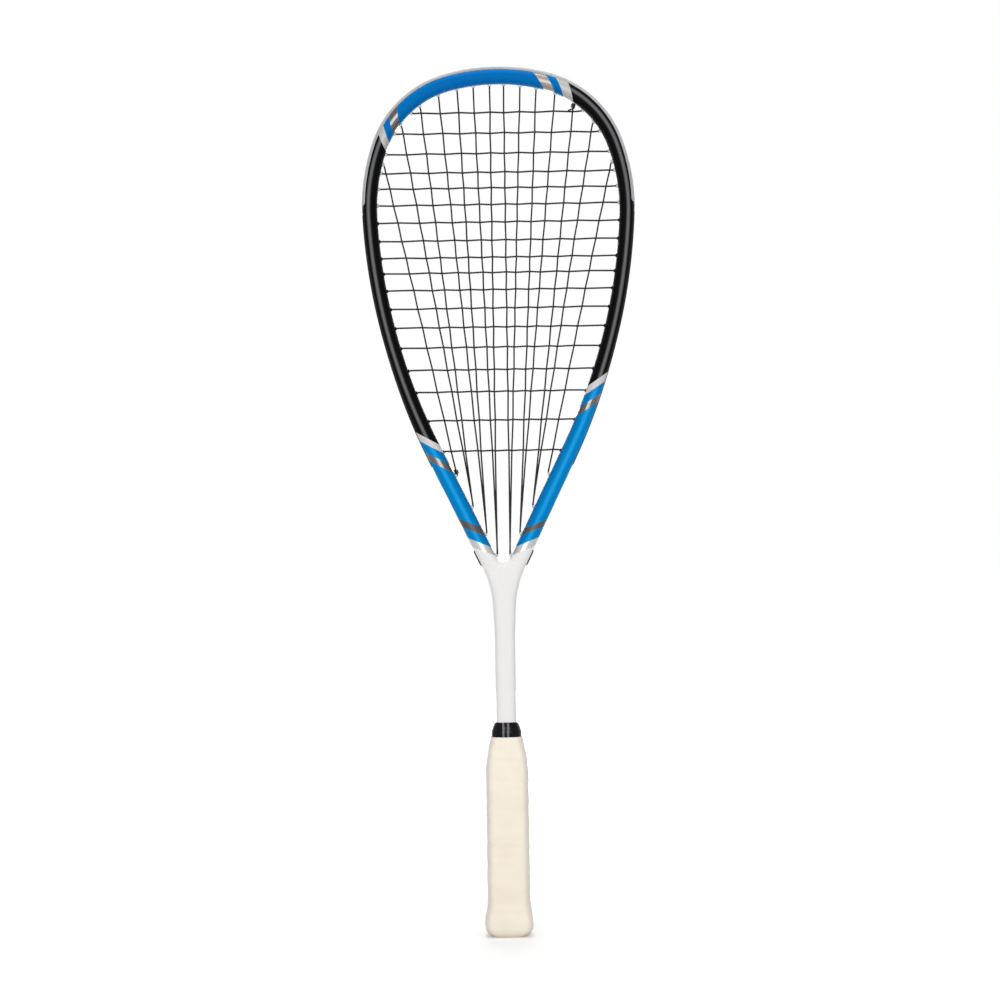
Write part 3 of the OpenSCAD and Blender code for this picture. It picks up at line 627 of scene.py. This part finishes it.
# The bumper: a crescent with round edges and a shallow line along each face
BUMPER_BAND, BAND_END, BAND_FADE = 2.6, 161.0, 2.5
SCORE_AT, SCORE_HALF, SCORE_DEPTH = 0.62, 0.05, 0.16
bumper_a = np.linspace(-1, 1, 33)


def bumper_outline(s, thick, end):
    """Across the bumper: a band of one width along the front, narrowing to a tongue at its ends."""
    band = BUMPER_BAND - (BUMPER_BAND - thick - 0.15) * smooth((abs(s) - BAND_END) / BAND_FADE)
    bumper_t = math.degrees(math.acos(((HALF_W + thick - band) / HALF_W) ** (TUBE_E / 2)))
    rounding = np.sqrt(np.clip(1 - np.abs(bumper_a) ** 7, 0, 1))
    score = SCORE_DEPTH * np.exp(-(((np.abs(bumper_a) - SCORE_AT) / SCORE_HALF) ** 2))
    grow = FIT + (thick * rounding - score * thick / BUMPER_PROUD) * end
    outer = np.stack(oval_point(TUBE_W + 2 * grow, TUBE_D + 2 * FIT, TUBE_E, bumper_t * bumper_a), -1)
    inner = np.stack(oval_point(TUBE_W + 0.1, TUBE_D + 0.1, TUBE_E, bumper_t * bumper_a[::-1]), -1)
    return np.concatenate([outer, inner])


bumper_s = places(-bumper_end, bumper_end, 1.0)
thick = BUMPER_THIN + (BUMPER_PROUD - FIT - BUMPER_THIN) * (1 - smooth(np.abs(bumper_s) / bumper_end))
ends = np.sqrt(np.clip(1 - np.clip(np.abs(bumper_s) / bumper_end, 0, 1) ** 60, 0.02, 1))
verts, faces = sweep(bumper_s, [bumper_outline(s, a, b) for s, a, b in zip(bumper_s, thick, ends)])
verts, faces = with_ends(verts, faces, 2 * len(bumper_a))
head_bumper = tidy(new_object("head_bumper_guard", verts, faces), sharp=50)


# Strips and grommets
def strip_outline(top):
    half, low, ch, soft = GROOVE_W / 2 - FIT, HALF_W - GROOVE_H + FIT, CHANNEL_W / 2, 0.25
    return [
        [low, -half], [top - soft, -half], [top, -half + soft], [top, -ch - soft], [top - soft, -ch],
        [CHANNEL_FLOOR, -ch], [CHANNEL_FLOOR, ch], [top - soft, ch], [top, ch + soft],
        [top, half - soft], [top - soft, half], [low, half],
    ]


def strip_part(start, end, top):
    s = places(start, end, 3.0)
    outline = strip_outline(top)
    verts, faces = sweep(s, [outline] * len(s))
    return with_ends(verts, faces, len(outline))


def nub(hole, shown):
    """The end of a barrel inside the head: a short tube with a soft lip, which shows on the pale grommets."""
    r, bore = BARREL_D / 2, BORE_D / 2
    if shown:
        profile = [
            (2.5, r), (0.4, r), (-0.2, r - 0.05), (-0.8, r - 0.14), (-1.25, r - 0.24), (-1.45, r - 0.4),
            (-1.5, r - 0.55), (-1.42, bore), (-1.0, bore - 0.1), (1.5, bore - 0.1),
        ]
    else:
        profile = [
            (2.5, r), (0.6, r), (0.1, r - 0.06), (-0.35, r - 0.22), (-0.62, r - 0.36), (-0.76, r - 0.5),
            (-TIP_LEN, r - 0.62), (-0.74, bore - 0.1), (-0.4, bore - 0.18), (1.5, bore - 0.18),
        ]
    return lathe(hole.mouth, hole.axis, profile)


def grommets(name, holes, strip=None, shown=True):
    parts = [nub(h, shown) for h in holes]
    if strip is not None:
        parts.append(strip_part(*strip))
    verts, faces = join(parts)
    return new_object(name, verts, faces, sharp=40)


def bottom_list(side, q):
    found = [main_bottoms[i] for i in range(main_n) if side_of(i) == side and bottom_of(i) == q]
    return found + ([start_hole] if side < 0 and q == 0 else [])


upper = [h for j in range(BUMPER_CROSSES) for h in (left_holes[j], right_holes[j])]
pieces = {}
pieces["head_strip"] = grommets(
    "head_strip_grommets", main_tops + [end_hole] + upper, (-bumper_end, bumper_end, HALF_W - 2 * FIT)
)
for side, name, holes in ((-1, "left", left_holes), (1, "right", right_holes)):
    strip = (side * (bumper_end + 2 * FIT), side * strip_end, HALF_W + STRIP_PROUD)
    pieces[name + "_strip"] = grommets(name + "_strip_grommets", holes[BUMPER_CROSSES:], strip, False)
    for q, level in enumerate(("outer", "upper", "lower", "fork")):
        found = bottom_list(side, q)
        outs = [abs(h.s_out) for h in found]
        strip = None
        if q < 3:
            strip = (side * (min(outs) - BARREL_D), side * (max(outs) + BARREL_D), HALF_W)
        node = f"{name}_{level}_grommet"
        pieces[node] = grommets(node + "_moulded", found, strip)

# The string, and the turns of the knots
STRING_STEP, SIDES = 1.1, 10
# Drawn a little stouter than the CAD's string, and the crosses marked by a shift of their UVs
MAIN_DRAWN_R, CROSS_DRAWN_R, CROSS_SHIFT = 0.65, 0.7, 10
string_path = fine_path(route, STRING_STEP, 2)
cross_ring = len(fine_path(route[:cross_start], STRING_STEP, 0))
drawn_r = np.where(np.arange(len(string_path)) >= cross_ring, CROSS_DRAWN_R, MAIN_DRAWN_R)
verts, faces, run = tube(string_path, drawn_r, SIDES)
string = new_object(
    "string_bed", *with_ends(verts, faces, SIDES),
    uv=np.concatenate([
        ring_uv(len(string_path), SIDES, run, CROSS_SHIFT * (np.arange(len(string_path) - 1) >= cross_ring)),
        np.zeros((2 * SIDES, 2)),
    ]),
)


KNOT_R, KNOT_PITCH, KNOT_TURNS, KNOT_STEP = STRING_D + 0.05, 1.0, 3.25, 0.4


def knot_path(hole, tied, towards, reach, tail):
    """From a loose end, in turns round the tied string, and out in a short tail."""
    d = unit(towards - tied)
    middle = tied + reach * d
    side = hole.loose - tied
    side = unit(side - (side @ d) * d)
    other = np.cross(d, side)
    a = np.linspace(0, 2 * math.pi * KNOT_TURNS, 80)
    coil = (
        middle + KNOT_R * (np.cos(a)[:, None] * side + np.sin(a)[:, None] * other)
        + ((a / (2 * math.pi) - KNOT_TURNS / 2) * KNOT_PITCH)[:, None] * d
    )
    out = coil[-1] + np.linspace(0, 1, 14)[1:, None] * tail
    path = np.concatenate([[hole.loose + 0.5 * hole.axis, hole.loose], coil, out])
    return fine_path([(p, False) for p in path], KNOT_STEP, 4)


def knot(name, path):
    verts, faces, run = tube(path, STRING_R, SIDES)
    uv = np.concatenate([ring_uv(len(path), SIDES, run), np.zeros((2 * SIDES, 2))])
    return new_object(name, *with_ends(verts, faces, SIDES), uv=uv)


start_knot = knot("start_knot_turns", knot_path(
    start_hole, main_bottoms[0].exit, main_run(0)[-1], 1.6, np.array([1.2, -0.8, 0.8])
))
end_knot = knot("end_knot_turns", knot_path(
    end_hole, main_tops[tie_main].exit, main_run(tie_main)[0], 0.7, np.array([-5.2, -0.9, -2.2])
))


# The handle
TAPER_CURVE = 1.25


def butt_share(z):
    return smooth((FLARE_Z - z) / (FLARE_Z - BUTT_Z))


def taper_share(z):
    return smooth((z - GRIP_LEN + TAPER_LEN) / TAPER_LEN / TAPER_CURVE) / smooth(1 / TAPER_CURVE)


def edge_cut(z):
    return np.where(z > BUTT_Z, 0, 2 * BUTT_ROUND * (1 - np.sqrt(np.maximum(0, 1 - ((BUTT_Z - z) / BUTT_Z) ** 2))))


def handle_size(z, size, top):
    return size + BUTT_GROW * butt_share(z) - (size - top) * taper_share(z) - edge_cut(z)


GRIP_N = 96
CORNER_R, BEVEL, BEVEL_TAN, CORNER_PULL, GATHER = 3.0, 4.6, 0.414, 2.0, 0.095
# Directions of the handle's outline: eight soft faces with the turns gathered at the corners
outline_t = np.linspace(0, 2 * math.pi, GRIP_N, endpoint=False)
outline_n = outline_t - GATHER * np.sin(8 * outline_t)


def handle_ring(z, grow=0.0):
    """A soft eight-sided outline at a height, wider than it is deep."""
    z = np.array(float(z))
    w = handle_size(z, GRIP_W, GRIP_TOP_W) / 2 + grow
    d = handle_size(z, GRIP_D, GRIP_TOP_D) / 2 + grow
    x_far, y_far = w - CORNER_R, d - CORNER_R
    x_near, y_near = w - BEVEL - BEVEL_TAN * CORNER_R, d - BEVEL - BEVEL_TAN * CORNER_R
    corners = np.array([
        [x_far, y_near], [x_near, y_far], [-x_near, y_far], [-x_far, y_near],
        [-x_far, -y_near], [-x_near, -y_far], [x_near, -y_far], [x_far, -y_near],
    ])
    nx, ny = np.cos(outline_n), np.sin(outline_n)
    soft = np.exp(CORNER_PULL * (corners[None, :, 0] * nx[:, None] + corners[None, :, 1] * ny[:, None]))
    weights = soft / soft.sum(1, keepdims=True)
    p = weights @ corners + CORNER_R * np.stack([nx, ny], -1)
    return np.stack([p[:, 0], p[:, 1], np.full(GRIP_N, float(z))], -1)


# The wrap: overlapping turns of a soft tape, each with a low step at its edge
WRAP_PITCH, STEP_H, STEP_RISE, STEP_SINK = 17.0, 0.30, 0.12, 0.1
GRIP_FOOT, EDGE_ROLL, EDGE_IN = 1.0, 1.2, 0.5
grip_z = np.concatenate([np.linspace(GRIP_FOOT, 30, 60), np.linspace(30.5, GRIP_LEN, 250)])
rings = []
for z in grip_z:
    ring = handle_ring(z)
    phase = (z / WRAP_PITCH + outline_t / (2 * math.pi)) % 1.0
    sides = 0.06 + 0.94 * np.abs(np.cos(outline_t)) ** 2
    ridge = STEP_H * smooth(phase / STEP_RISE) * (1 - smooth((phase - STEP_RISE) / (1 - STEP_RISE)))
    ridge = (ridge - STEP_SINK) * sides * smooth((z - 3) / 8)
    # The tape is not quite even, and its top edge rolls in
    wave = 0.08 * np.sin(z * 0.31 + 2 * outline_t) + 0.07 * np.sin(z * 0.83 + 3 * outline_t + 1.0)
    out = ring[:, :2] / np.linalg.norm(ring[:, :2], axis=1)[:, None]
    end = smooth((GRIP_LEN - z) / EDGE_ROLL)
    ring[:, :2] += out * ((ridge + wave) * end - EDGE_IN * (1 - end))[:, None]
    rings.append(ring)
# The last ring closes the top of the wrap inwards
rings.append(rings[-1] * np.array([0.8, 0.8, 1]))
grip = new_object(
    "grip_wrap", np.concatenate(rings), ring_faces(len(rings), GRIP_N),
    uv=np.concatenate([ring_uv(len(grip_z), GRIP_N, grip_z), np.tile([GRIP_LEN, 0.5], (4 * GRIP_N, 1))]),
)

# The butt cap: a plate with a soft edge and a raised ring on its underside
base_ring = handle_ring(GRIP_FOOT)[:, :2]
cap_levels = [
    (3.2, 0.97, 0), (1.3, 0.985, 0), (1.05, 1.01, 0.006), (0.6, 0.99, 0.006), (0.25, 0.95, 0.003), (0.0, 0.88, 0),
    (0.0, 0.70, 0), (0.25, 0.67, 0), (0.25, 0.0, 0),
]
teeth = np.where(np.arange(GRIP_N) % 2 == 0, 1.0, -1.0)[:, None]
verts = np.concatenate([
    np.concatenate([base_ring * (k + tooth * teeth), np.full((GRIP_N, 1), z)], 1) for z, k, tooth in cap_levels
])
butt_cap = tidy(new_object("butt_cap_plate", verts, ring_faces(len(cap_levels), GRIP_N)), sharp=40, merge=0.01)

# The collar: turns of glossy tape from the grip down to the shaft
collar_levels = [
    (156.4, 22.8), (156.8, 23.4), (157.4, 23.7), (159.0, 23.8), (160.6, 23.6), (161.8, 23.3), (162.3, 22.9),
    (162.5, 22.5), (163.4, 22.1), (164.6, 21.3), (165.8, 20.4), (166.8, 19.5), (167.7, 18.5), (168.2, 17.8),
    (168.5, 17.2), (168.5, 16.4),
]
COLLAR_N = 144
CREASE_FOOT, CREASE_TOP, CREASE_FADE, CREASE_DEPTH = 156.6, 168.4, 1.5, 0.007
collar_t = np.linspace(0, 360, COLLAR_N, endpoint=False)


def share_in(z):
    """The tape's upright creases fade out at its edges."""
    return float(smooth((z - CREASE_FOOT) / CREASE_FADE) * smooth((CREASE_TOP - z) / CREASE_FADE))


rings = []
for z, w in collar_levels:
    share = np.clip((z - GRIP_LEN) / COLLAR_H, 0, 1)
    d = w + (TUBE_D - SHAFT_W) * share - 0.5 * (1 - share)
    crease = 1 + CREASE_DEPTH * share_in(z) * (sin(9 * collar_t + 40) + 0.7 * sin(14 * collar_t))
    x, y = oval_point(w, d, TUBE_E, collar_t)
    x, y = x * crease, y * crease
    rings.append(np.stack([x, y, np.full(COLLAR_N, z)], -1))
collar = new_object("collar_tape", np.concatenate(rings), ring_faces(len(rings), COLLAR_N), sharp=60)


# Materials
class Nodes:
    """A short way to build a material's nodes."""

    def __init__(self, name):
        self.material = bpy.data.materials.new(name)
        self.material.use_nodes = True
        self.tree = self.material.node_tree
        self.bsdf = self.tree.nodes["Principled BSDF"]

    def node(self, kind, **settings):
        n = self.tree.nodes.new("ShaderNode" + kind)
        for key, value in settings.items():
            setattr(n, key, value)
        return n

    def link(self, a, b):
        self.tree.links.new(a, b)

    def put(self, socket, value):
        if isinstance(value, bpy.types.NodeSocket):
            self.link(value, socket)
        else:
            socket.default_value = value

    def math(self, operation, a, b=0.0, c=0.0):
        n = self.node("Math", operation=operation)
        for socket, value in zip(n.inputs, (a, b, c)):
            self.put(socket, value)
        return n.outputs[0]

    def ramp(self, fac, stops, constant=False):
        n = self.node("ValToRGB")
        n.color_ramp.interpolation = "CONSTANT" if constant else "LINEAR"
        elements = n.color_ramp.elements
        elements.remove(elements[1])
        for k, (position, colour) in enumerate(stops):
            e = elements[0] if k == 0 else elements.new(position)
            e.position = position
            e.color = (*colour, 1) if len(colour) == 3 else colour
        self.put(n.inputs["Fac"], fac)
        return n.outputs["Color"]

    def mix(self, fac, a, b, blend="MIX"):
        n = self.node("Mix", data_type="RGBA", blend_type=blend)
        self.put(n.inputs[0], fac)
        self.put(n.inputs[6], a)
        self.put(n.inputs[7], b)
        return n.outputs[2]

    def place(self):
        return self.node("TexCoord").outputs["Object"]

    def noise(self, scale, detail, roughness):
        n = self.node("TexNoise")
        n.inputs["Scale"].default_value = scale
        n.inputs["Detail"].default_value = detail
        n.inputs["Roughness"].default_value = roughness
        self.link(self.place(), n.inputs["Vector"])
        return n.outputs["Fac"]

    def uv(self, name):
        return self.node("UVMap", uv_map=name).outputs["UV"]

    def split(self, vector):
        n = self.node("SeparateXYZ")
        self.link(vector, n.inputs[0])
        return n.outputs[0], n.outputs[1]

    def bump(self, height, strength, distance):
        n = self.node("Bump")
        n.inputs["Strength"].default_value = strength
        n.inputs["Distance"].default_value = distance
        self.link(height, n.inputs["Height"])
        self.link(n.outputs["Normal"], self.bsdf.inputs["Normal"])

    def set(self, **values):
        for key, value in values.items():
            self.put(self.bsdf.inputs[key.replace("_", " ").title().replace("Ior", "IOR")], value)


def srgb(r, g, b):
    c = np.array([r, g, b]) / 255
    return tuple(np.where(c <= 0.04045, c / 12.92, ((c + 0.055) / 1.055) ** 2.4))


BLUE, LEG_BLUE, BLACK, WHITE = srgb(1, 108, 182), srgb(2, 123, 190), srgb(7, 7, 8), srgb(239, 236, 236)
SILVER, PEARL, STEEL = srgb(194, 193, 193), srgb(206, 204, 205), srgb(96, 94, 93)
SLATE, TAUPE, ASH = srgb(86, 85, 85), srgb(158, 150, 144), srgb(184, 183, 182)
PAINT_SPAN = 500.0
# How far the stripes lean: on the crown, on the legs and at the fork, and where each begins
CROWN_LEAN, LEG_LEAN, FORK_LEAN, LEG_FROM, FORK_FROM = 1.0, 1.35, 1.1, 230.0, 405.0
# Where each colour starts, from the crown downwards
LEFT_PAINT = [
    (0, BLUE), (85.7, STEEL), (94.7, BLUE), (103.4, ASH), (109.8, BLACK), (353.1, PEARL),
    (359.6, LEG_BLUE), (370.3, STEEL), (378.5, LEG_BLUE), (427.1, SLATE), (434, LEG_BLUE), (443.8, SILVER),
    (452.1, WHITE),
]
RIGHT_PAINT = [
    (0, BLUE), (31.4, TAUPE), (41.2, BLUE), (49.8, ASH), (59.2, BLACK), (304.5, PEARL),
    (311.5, LEG_BLUE), (320.4, STEEL), (329.1, LEG_BLUE), (428.6, SLATE), (435.2, LEG_BLUE), (444.2, SILVER),
    (452.6, WHITE),
]
# Metal flake and roughness of each colour
SHINE = {
    BLUE: 0.0, LEG_BLUE: 0.05, BLACK: 0.0, WHITE: 0.0, SILVER: 0.3, PEARL: 0.05, ASH: 0.1, STEEL: 0.95, SLATE: 0.3,
    TAUPE: 0.25,
}
ROUGH = {
    BLUE: 0.5, LEG_BLUE: 0.42, BLACK: 0.42, WHITE: 0.36, SILVER: 0.24, PEARL: 0.4, ASH: 0.36, STEEL: 0.24, SLATE: 0.36,
    TAUPE: 0.26,
}
# A lighter stripe along the tube, a painted highlight that is partly a lighter band of the lacquer: its offset, and
# its half width on the black sides and on the legs
HIGHLIGHT_OFF, BLACK_HIGHLIGHT_HALF, LEG_HIGHLIGHT_HALF = 1.0, 2.0, 2.7
# Width of the carbon tows under the black
TOW = 1.6


def frame_material():
    """Lacquer in blocks of colour with slanted edges. The UVs are places along the tube and across it."""
    m = Nodes("frame_lacquer")
    s, off = m.split(m.uv("Paint"))
    run = m.math("ABSOLUTE", s)
    lean = m.math("MULTIPLY_ADD", m.math("GREATER_THAN", run, LEG_FROM), LEG_LEAN - CROWN_LEAN, CROWN_LEAN)
    lean = m.math("MULTIPLY_ADD", m.math("GREATER_THAN", run, FORK_FROM), FORK_LEAN - LEG_LEAN, lean)
    q = m.math("MULTIPLY_ADD", off, lean, run)
    q = m.math("DIVIDE", q, PAINT_SPAN)
    right = m.math("GREATER_THAN", s, 0.0)

    def both(change):
        sides = []
        for paint in (LEFT_PAINT, RIGHT_PAINT):
            stops = [(p / PAINT_SPAN, change(c)) for p, c in paint]
            sides.append(m.ramp(q, stops, constant=True))
        return m.mix(right, *sides)

    colour = both(lambda c: c)
    shine = both(lambda c: (SHINE[c],) * 3)
    base_rough = both(lambda c: (ROUGH[c],) * 3)
    dark = both(lambda c: (1.0 if c == BLACK else 0.0,) * 3)
    blue_sheen_mask = both(lambda c: (1.0 if c in (BLUE, LEG_BLUE) else 0.0,) * 3)
    leg_highlight_mask = both(lambda c: (1.0 if c == LEG_BLUE else 0.0,) * 3)
    # A faint twill of carbon tows under the lacquer of the black parts
    a = m.math("FLOOR", m.math("DIVIDE", m.math("ADD", s, off), TOW))
    b = m.math("FLOOR", m.math("DIVIDE", m.math("SUBTRACT", s, off), TOW))
    twill = m.math("GREATER_THAN", m.math("FLOORED_MODULO", m.math("ADD", a, m.math("MULTIPLY", b, 2.0)), 4.0), 1.5)
    weave = m.math("MULTIPLY", twill, m.math("MULTIPLY", dark, 0.5))
    colour = m.mix(weave, colour, (0.006, 0.006, 0.007, 1))
    # Painted highlight: a grey stripe on the black and a lighter blue one on the legs, mixed into the colour
    stripes = ((dark, BLACK_HIGHLIGHT_HALF, srgb(108, 108, 110)), (leg_highlight_mask, LEG_HIGHLIGHT_HALF, srgb(22, 150, 216)))
    for where, half, highlight_tint in stripes:
        across = m.math("DIVIDE", m.math("SUBTRACT", off, HIGHLIGHT_OFF), half)
        highlight = m.math("MAXIMUM", m.math("SUBTRACT", 1.0, m.math("MULTIPLY", across, across)), 0.0)
        highlight = m.math("MULTIPLY", highlight, highlight)
        colour = m.mix(m.math("MULTIPLY", highlight, where), colour, (*highlight_tint, 1))
    # Flake and slight unevenness of the paint, and a painted sheen on the blue
    fleck = m.noise(900.0, 2.0, 0.6)
    patch = m.noise(14.0, 4.0, 0.55)
    tone = m.math("MULTIPLY_ADD", fleck, 0.10, m.math("MULTIPLY_ADD", patch, 0.10, 0.90))
    # Painted sheen: the blue is lighter on the tube's outer half and darker on its inner half
    tone = m.math("MULTIPLY_ADD", off, m.math("MULTIPLY", blue_sheen_mask, 0.014), tone)
    m.set(base_color=m.mix(1.0, colour, tone, "MULTIPLY"), metallic=shine, specular_ior_level=0.025)
    m.set(roughness=m.math("MULTIPLY_ADD", patch, 0.06, m.math("SUBTRACT", base_rough, 0.03)))
    m.bump(m.noise(260.0, 3.0, 0.5), 0.03, 0.0003)
    return m.material


def moulded(name, colour, rough, grain=600.0, specular=0.4, subsurface=0.0):
    """Moulded plastic with a fine grain and slight scuffs."""
    m = Nodes(name)
    fine = m.noise(grain, 3.0, 0.55)
    broad = m.noise(35.0, 4.0, 0.6)
    low, high = tuple(0.86 * c for c in colour), tuple(min(1.0, 1.08 * c) for c in colour)
    m.set(base_color=m.ramp(broad, [(0.3, low), (0.7, high)]), specular_ior_level=specular)
    m.set(roughness=m.math("MULTIPLY_ADD", broad, 0.16, rough - 0.08))
    if subsurface:
        m.set(subsurface_weight=subsurface, subsurface_scale=0.001)
    m.bump(fine, 0.12, 0.0003)
    return m.material


# The collar's painted highlights, two pale upright streaks, in metres: their place, half width and waver
GLINT_X, GLINT_HALF, GLINT_WAVER = 0.0019, 0.0011, 0.0012


def collar_material():
    """Glossy black tape with painted highlights: two pale upright streaks at the middle of each face."""
    m = Nodes("collar_tape")
    x, _ = m.split(m.place())
    across = m.math("MULTIPLY_ADD", m.noise(160.0, 2.0, 0.5), GLINT_WAVER, x)
    across = m.math("DIVIDE", m.math("SUBTRACT", m.math("ABSOLUTE", across), GLINT_X), GLINT_HALF)
    crease = m.math("MAXIMUM", m.math("SUBTRACT", 1.0, m.math("MULTIPLY", across, across)), 0.0)
    # Painted highlights: the crease mask lays two pale streaks into the black tape's colour
    m.set(base_color=m.mix(crease, (*srgb(8, 8, 10), 1), (*srgb(112, 115, 120), 1)), specular_ior_level=0.1)
    m.set(roughness=m.math("MULTIPLY_ADD", m.noise(35.0, 4.0, 0.6), 0.16, 0.14))
    m.bump(m.noise(300.0, 3.0, 0.55), 0.12, 0.0003)
    return m.material


# Length of one turn of the string's filaments
STRING_LAY = 1.9


def string_material():
    """Smooth multifilament string with a fine helical lay, more flecked on the crosses."""
    m = Nodes("string_filament")
    run, turned = m.split(m.uv("UVMap"))
    lay = m.math("MULTIPLY_ADD", run, 1 / STRING_LAY, turned)
    wave = m.math("SINE", m.math("MULTIPLY", lay, 2 * math.pi))
    half = m.math("MULTIPLY_ADD", wave, 0.5, 0.5)
    plain = m.ramp(half, [(0.0, (0.012,) * 3), (0.6, (0.03,) * 3), (1.0, (0.08, 0.08, 0.078))])
    flecked = m.ramp(half, [(0.0, (0.002,) * 3), (0.6, (0.004,) * 3), (1.0, (0.17, 0.167, 0.163))])
    cross = m.math("GREATER_THAN", turned, CROSS_SHIFT / 2)
    m.set(base_color=m.mix(cross, plain, flecked), specular_ior_level=0.01)
    m.set(roughness=m.math("MULTIPLY_ADD", half, 0.15, 0.38))
    m.bump(half, 0.6, 0.00012)
    return m.material


def grip_material():
    """Cream tape with a soft open grain, and painted shade that greys the side bevels."""
    m = Nodes("grip_tape")
    height, turned = m.split(m.uv("UVMap"))
    phase = m.math("FRACT", m.math("MULTIPLY_ADD", height, 1 / WRAP_PITCH, turned))
    white, shade_grey = (1, 1, 1), (0.81, 0.83, 0.90)
    # Painted shade: faintly darker along each turn's step edge
    edge = m.ramp(phase, [(0.0, (0.98,) * 3), (0.06, white), (0.9, white), (1.0, (0.985,) * 3)])
    sideways = m.math("ABSOLUTE", m.math("COSINE", m.math("MULTIPLY", turned, 2 * math.pi)))
    # Painted shade: the side bevels greyer than the front face
    bevel_shade = m.ramp(sideways, [(0.45, white), (0.8, shade_grey), (0.93, shade_grey), (1.0, (0.92, 0.925, 0.94))])
    fine = m.noise(1500.0, 4.0, 0.6)
    broad = m.noise(40.0, 5.0, 0.6)
    colour = m.ramp(broad, [(0.3, srgb(244, 232, 213)), (0.7, srgb(250, 241, 226))])
    colour = m.mix(1.0, m.mix(1.0, colour, edge, "MULTIPLY"), bevel_shade, "MULTIPLY")
    m.set(base_color=colour, roughness=m.math("MULTIPLY_ADD", fine, 0.2, 0.62))
    m.set(specular_ior_level=0.25, sheen_weight=0.15, sheen_roughness=0.5)
    m.bump(m.math("MULTIPLY_ADD", fine, 0.5, m.noise(420.0, 3.0, 0.5)), 0.35, 0.0004)
    return m.material


lacquer = frame_material()
guard = moulded("bumper_nylon", srgb(176, 177, 180), 0.38, 500.0)
pale = moulded("grommet_nylon", srgb(206, 209, 211), 0.42, 700.0, subsurface=0.2)
dark = moulded("strip_nylon", srgb(14, 14, 15), 0.5, 700.0, specular=0.06)
filament = string_material()
tape = grip_material()
gloss = collar_material()
cap_plastic = moulded("cap_plastic", srgb(240, 231, 215), 0.5, 700.0)
foam = moulded("handle_foam", srgb(226, 211, 178), 0.85, 400.0, specular=0.1)
steel = moulded("tack_steel", srgb(178, 178, 182), 0.3, 900.0)

look = {
    "frame": (frame_shell, lacquer, "frame"),
    "head_bumper": (head_bumper, guard, "bumper"),
    "string": (string, filament, "string"),
    "start_knot": (start_knot, filament, "string"),
    "end_knot": (end_knot, filament, "string"),
    "grip": (grip, tape, "grip"),
    "butt_cap": (butt_cap, cap_plastic, "cap"),
    "collar": (collar, gloss, "collar"),
}
for node, piece in pieces.items():
    side_strip = node in ("left_strip", "right_strip")
    look[node] = (piece, dark if side_strip else pale, "strip" if side_strip else "grommet")
for node, (piece, material, slot) in look.items():
    piece.data.materials.clear()
    piece.data.materials.append(material)
    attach(piece, "root")
    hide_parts(node)
for node, material in (("handle_core", foam), ("butt_tacks", steel)):
    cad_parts[node].data.materials.clear()
    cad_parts[node].data.materials.append(material)

# Floor, world and lamps
scene = bpy.context.scene
floor_mesh = bpy.data.meshes.new("floor")
FLOOR_HALF = 6
corners = [(FLOOR_HALF * x, FLOOR_HALF * y, 0) for x, y in ((-1, -1), (1, -1), (1, 1), (-1, 1))]
floor_mesh.from_pydata(corners, [], [(0, 1, 2, 3)])
floor = bpy.data.objects.new("floor", floor_mesh)
scene.collection.objects.link(floor)


def seen(tree):
    """1 for camera, glossy and transmission rays, 0 for others."""
    path = tree.nodes.new("ShaderNodeLightPath")
    total = path.outputs["Is Camera Ray"]
    for name in ("Is Glossy Ray", "Is Transmission Ray"):
        n = tree.nodes.new("ShaderNodeMath")
        n.operation = "MAXIMUM"
        tree.links.new(total, n.inputs[0])
        tree.links.new(path.outputs[name], n.inputs[1])
        total = n.outputs[0]
    return total


floor_look = Nodes("floor_white")
floor_look.set(base_color=(0.8, 0.8, 0.8, 1), roughness=0.9, specular_ior_level=0.0, emission_color=(1, 1, 1, 1))
# The floor's own light keeps it white far off. There is less of it near the racket, so that its shadow shows
GLOW_NEAR, GLOW_RISE, GLOW_REACH = 0.22, 0.46, 2.0
x, y = floor_look.split(floor_look.place())
away = floor_look.math("SQRT", floor_look.math("MULTIPLY_ADD", x, x, floor_look.math("MULTIPLY", y, y)))
away = floor_look.math("MINIMUM", floor_look.math("MULTIPLY", away, 1 / GLOW_REACH), 1.0)
level = floor_look.math("MULTIPLY_ADD", away, GLOW_RISE, GLOW_NEAR)
floor_look.set(emission_strength=floor_look.math("MULTIPLY", seen(floor_look.tree), level))
floor_mesh.materials.append(floor_look.material)

world = bpy.data.worlds.new("studio")
scene.world = world
world.use_nodes = True
background = world.node_tree.nodes["Background"]
background.inputs["Color"].default_value = (1, 1, 1, 1)
strength = world.node_tree.nodes.new("ShaderNodeMapRange")
strength.inputs["To Min"].default_value = 0.45
strength.inputs["To Max"].default_value = 1.0
world.node_tree.links.new(seen(world.node_tree), strength.inputs["Value"])
world.node_tree.links.new(strength.outputs["Result"], background.inputs["Strength"])


def lamp(name, place, target, size, power):
    data = bpy.data.lights.new(name, "AREA")
    data.shape = "DISK"
    data.size = size
    data.energy = power
    obj = bpy.data.objects.new(name, data)
    obj.location = place
    obj.rotation_euler = (Vector(target) - Vector(place)).to_track_quat("-Z", "Y").to_euler()
    scene.collection.objects.link(obj)


for name, side in (("front", -1), ("rear", 1)):
    lamp(name + "_key", (0.1 * side, 3.0 * side, 0.75), target=(0, 0, 0.38), size=1.3, power=30.5)
    lamp(name + "_top", (-0.1, 1.7 * side, 2.3), target=(0, 0, 0.3), size=0.9, power=5)
lamp("overhead", (0, 0, 2.6), target=(0, 0, 0), size=1.0, power=24)

# Camera, straight on and leaning with the photograph's slight tilt
VIEW_W, DISTANCE, SENSOR_W, TILT = 0.789, 2.4, 36, 0.89
camera_data = bpy.data.cameras.new("camera")
camera_data.sensor_width = SENSOR_W
camera_data.lens = SENSOR_W * DISTANCE / VIEW_W
camera = bpy.data.objects.new("camera", camera_data)
camera.location = (-0.00228, -DISTANCE, 0.3435)
camera.rotation_euler = (math.radians(90), math.radians(TILT), 0)
scene.collection.objects.link(camera)
scene.camera = camera
scene.view_settings.view_transform = "Standard"
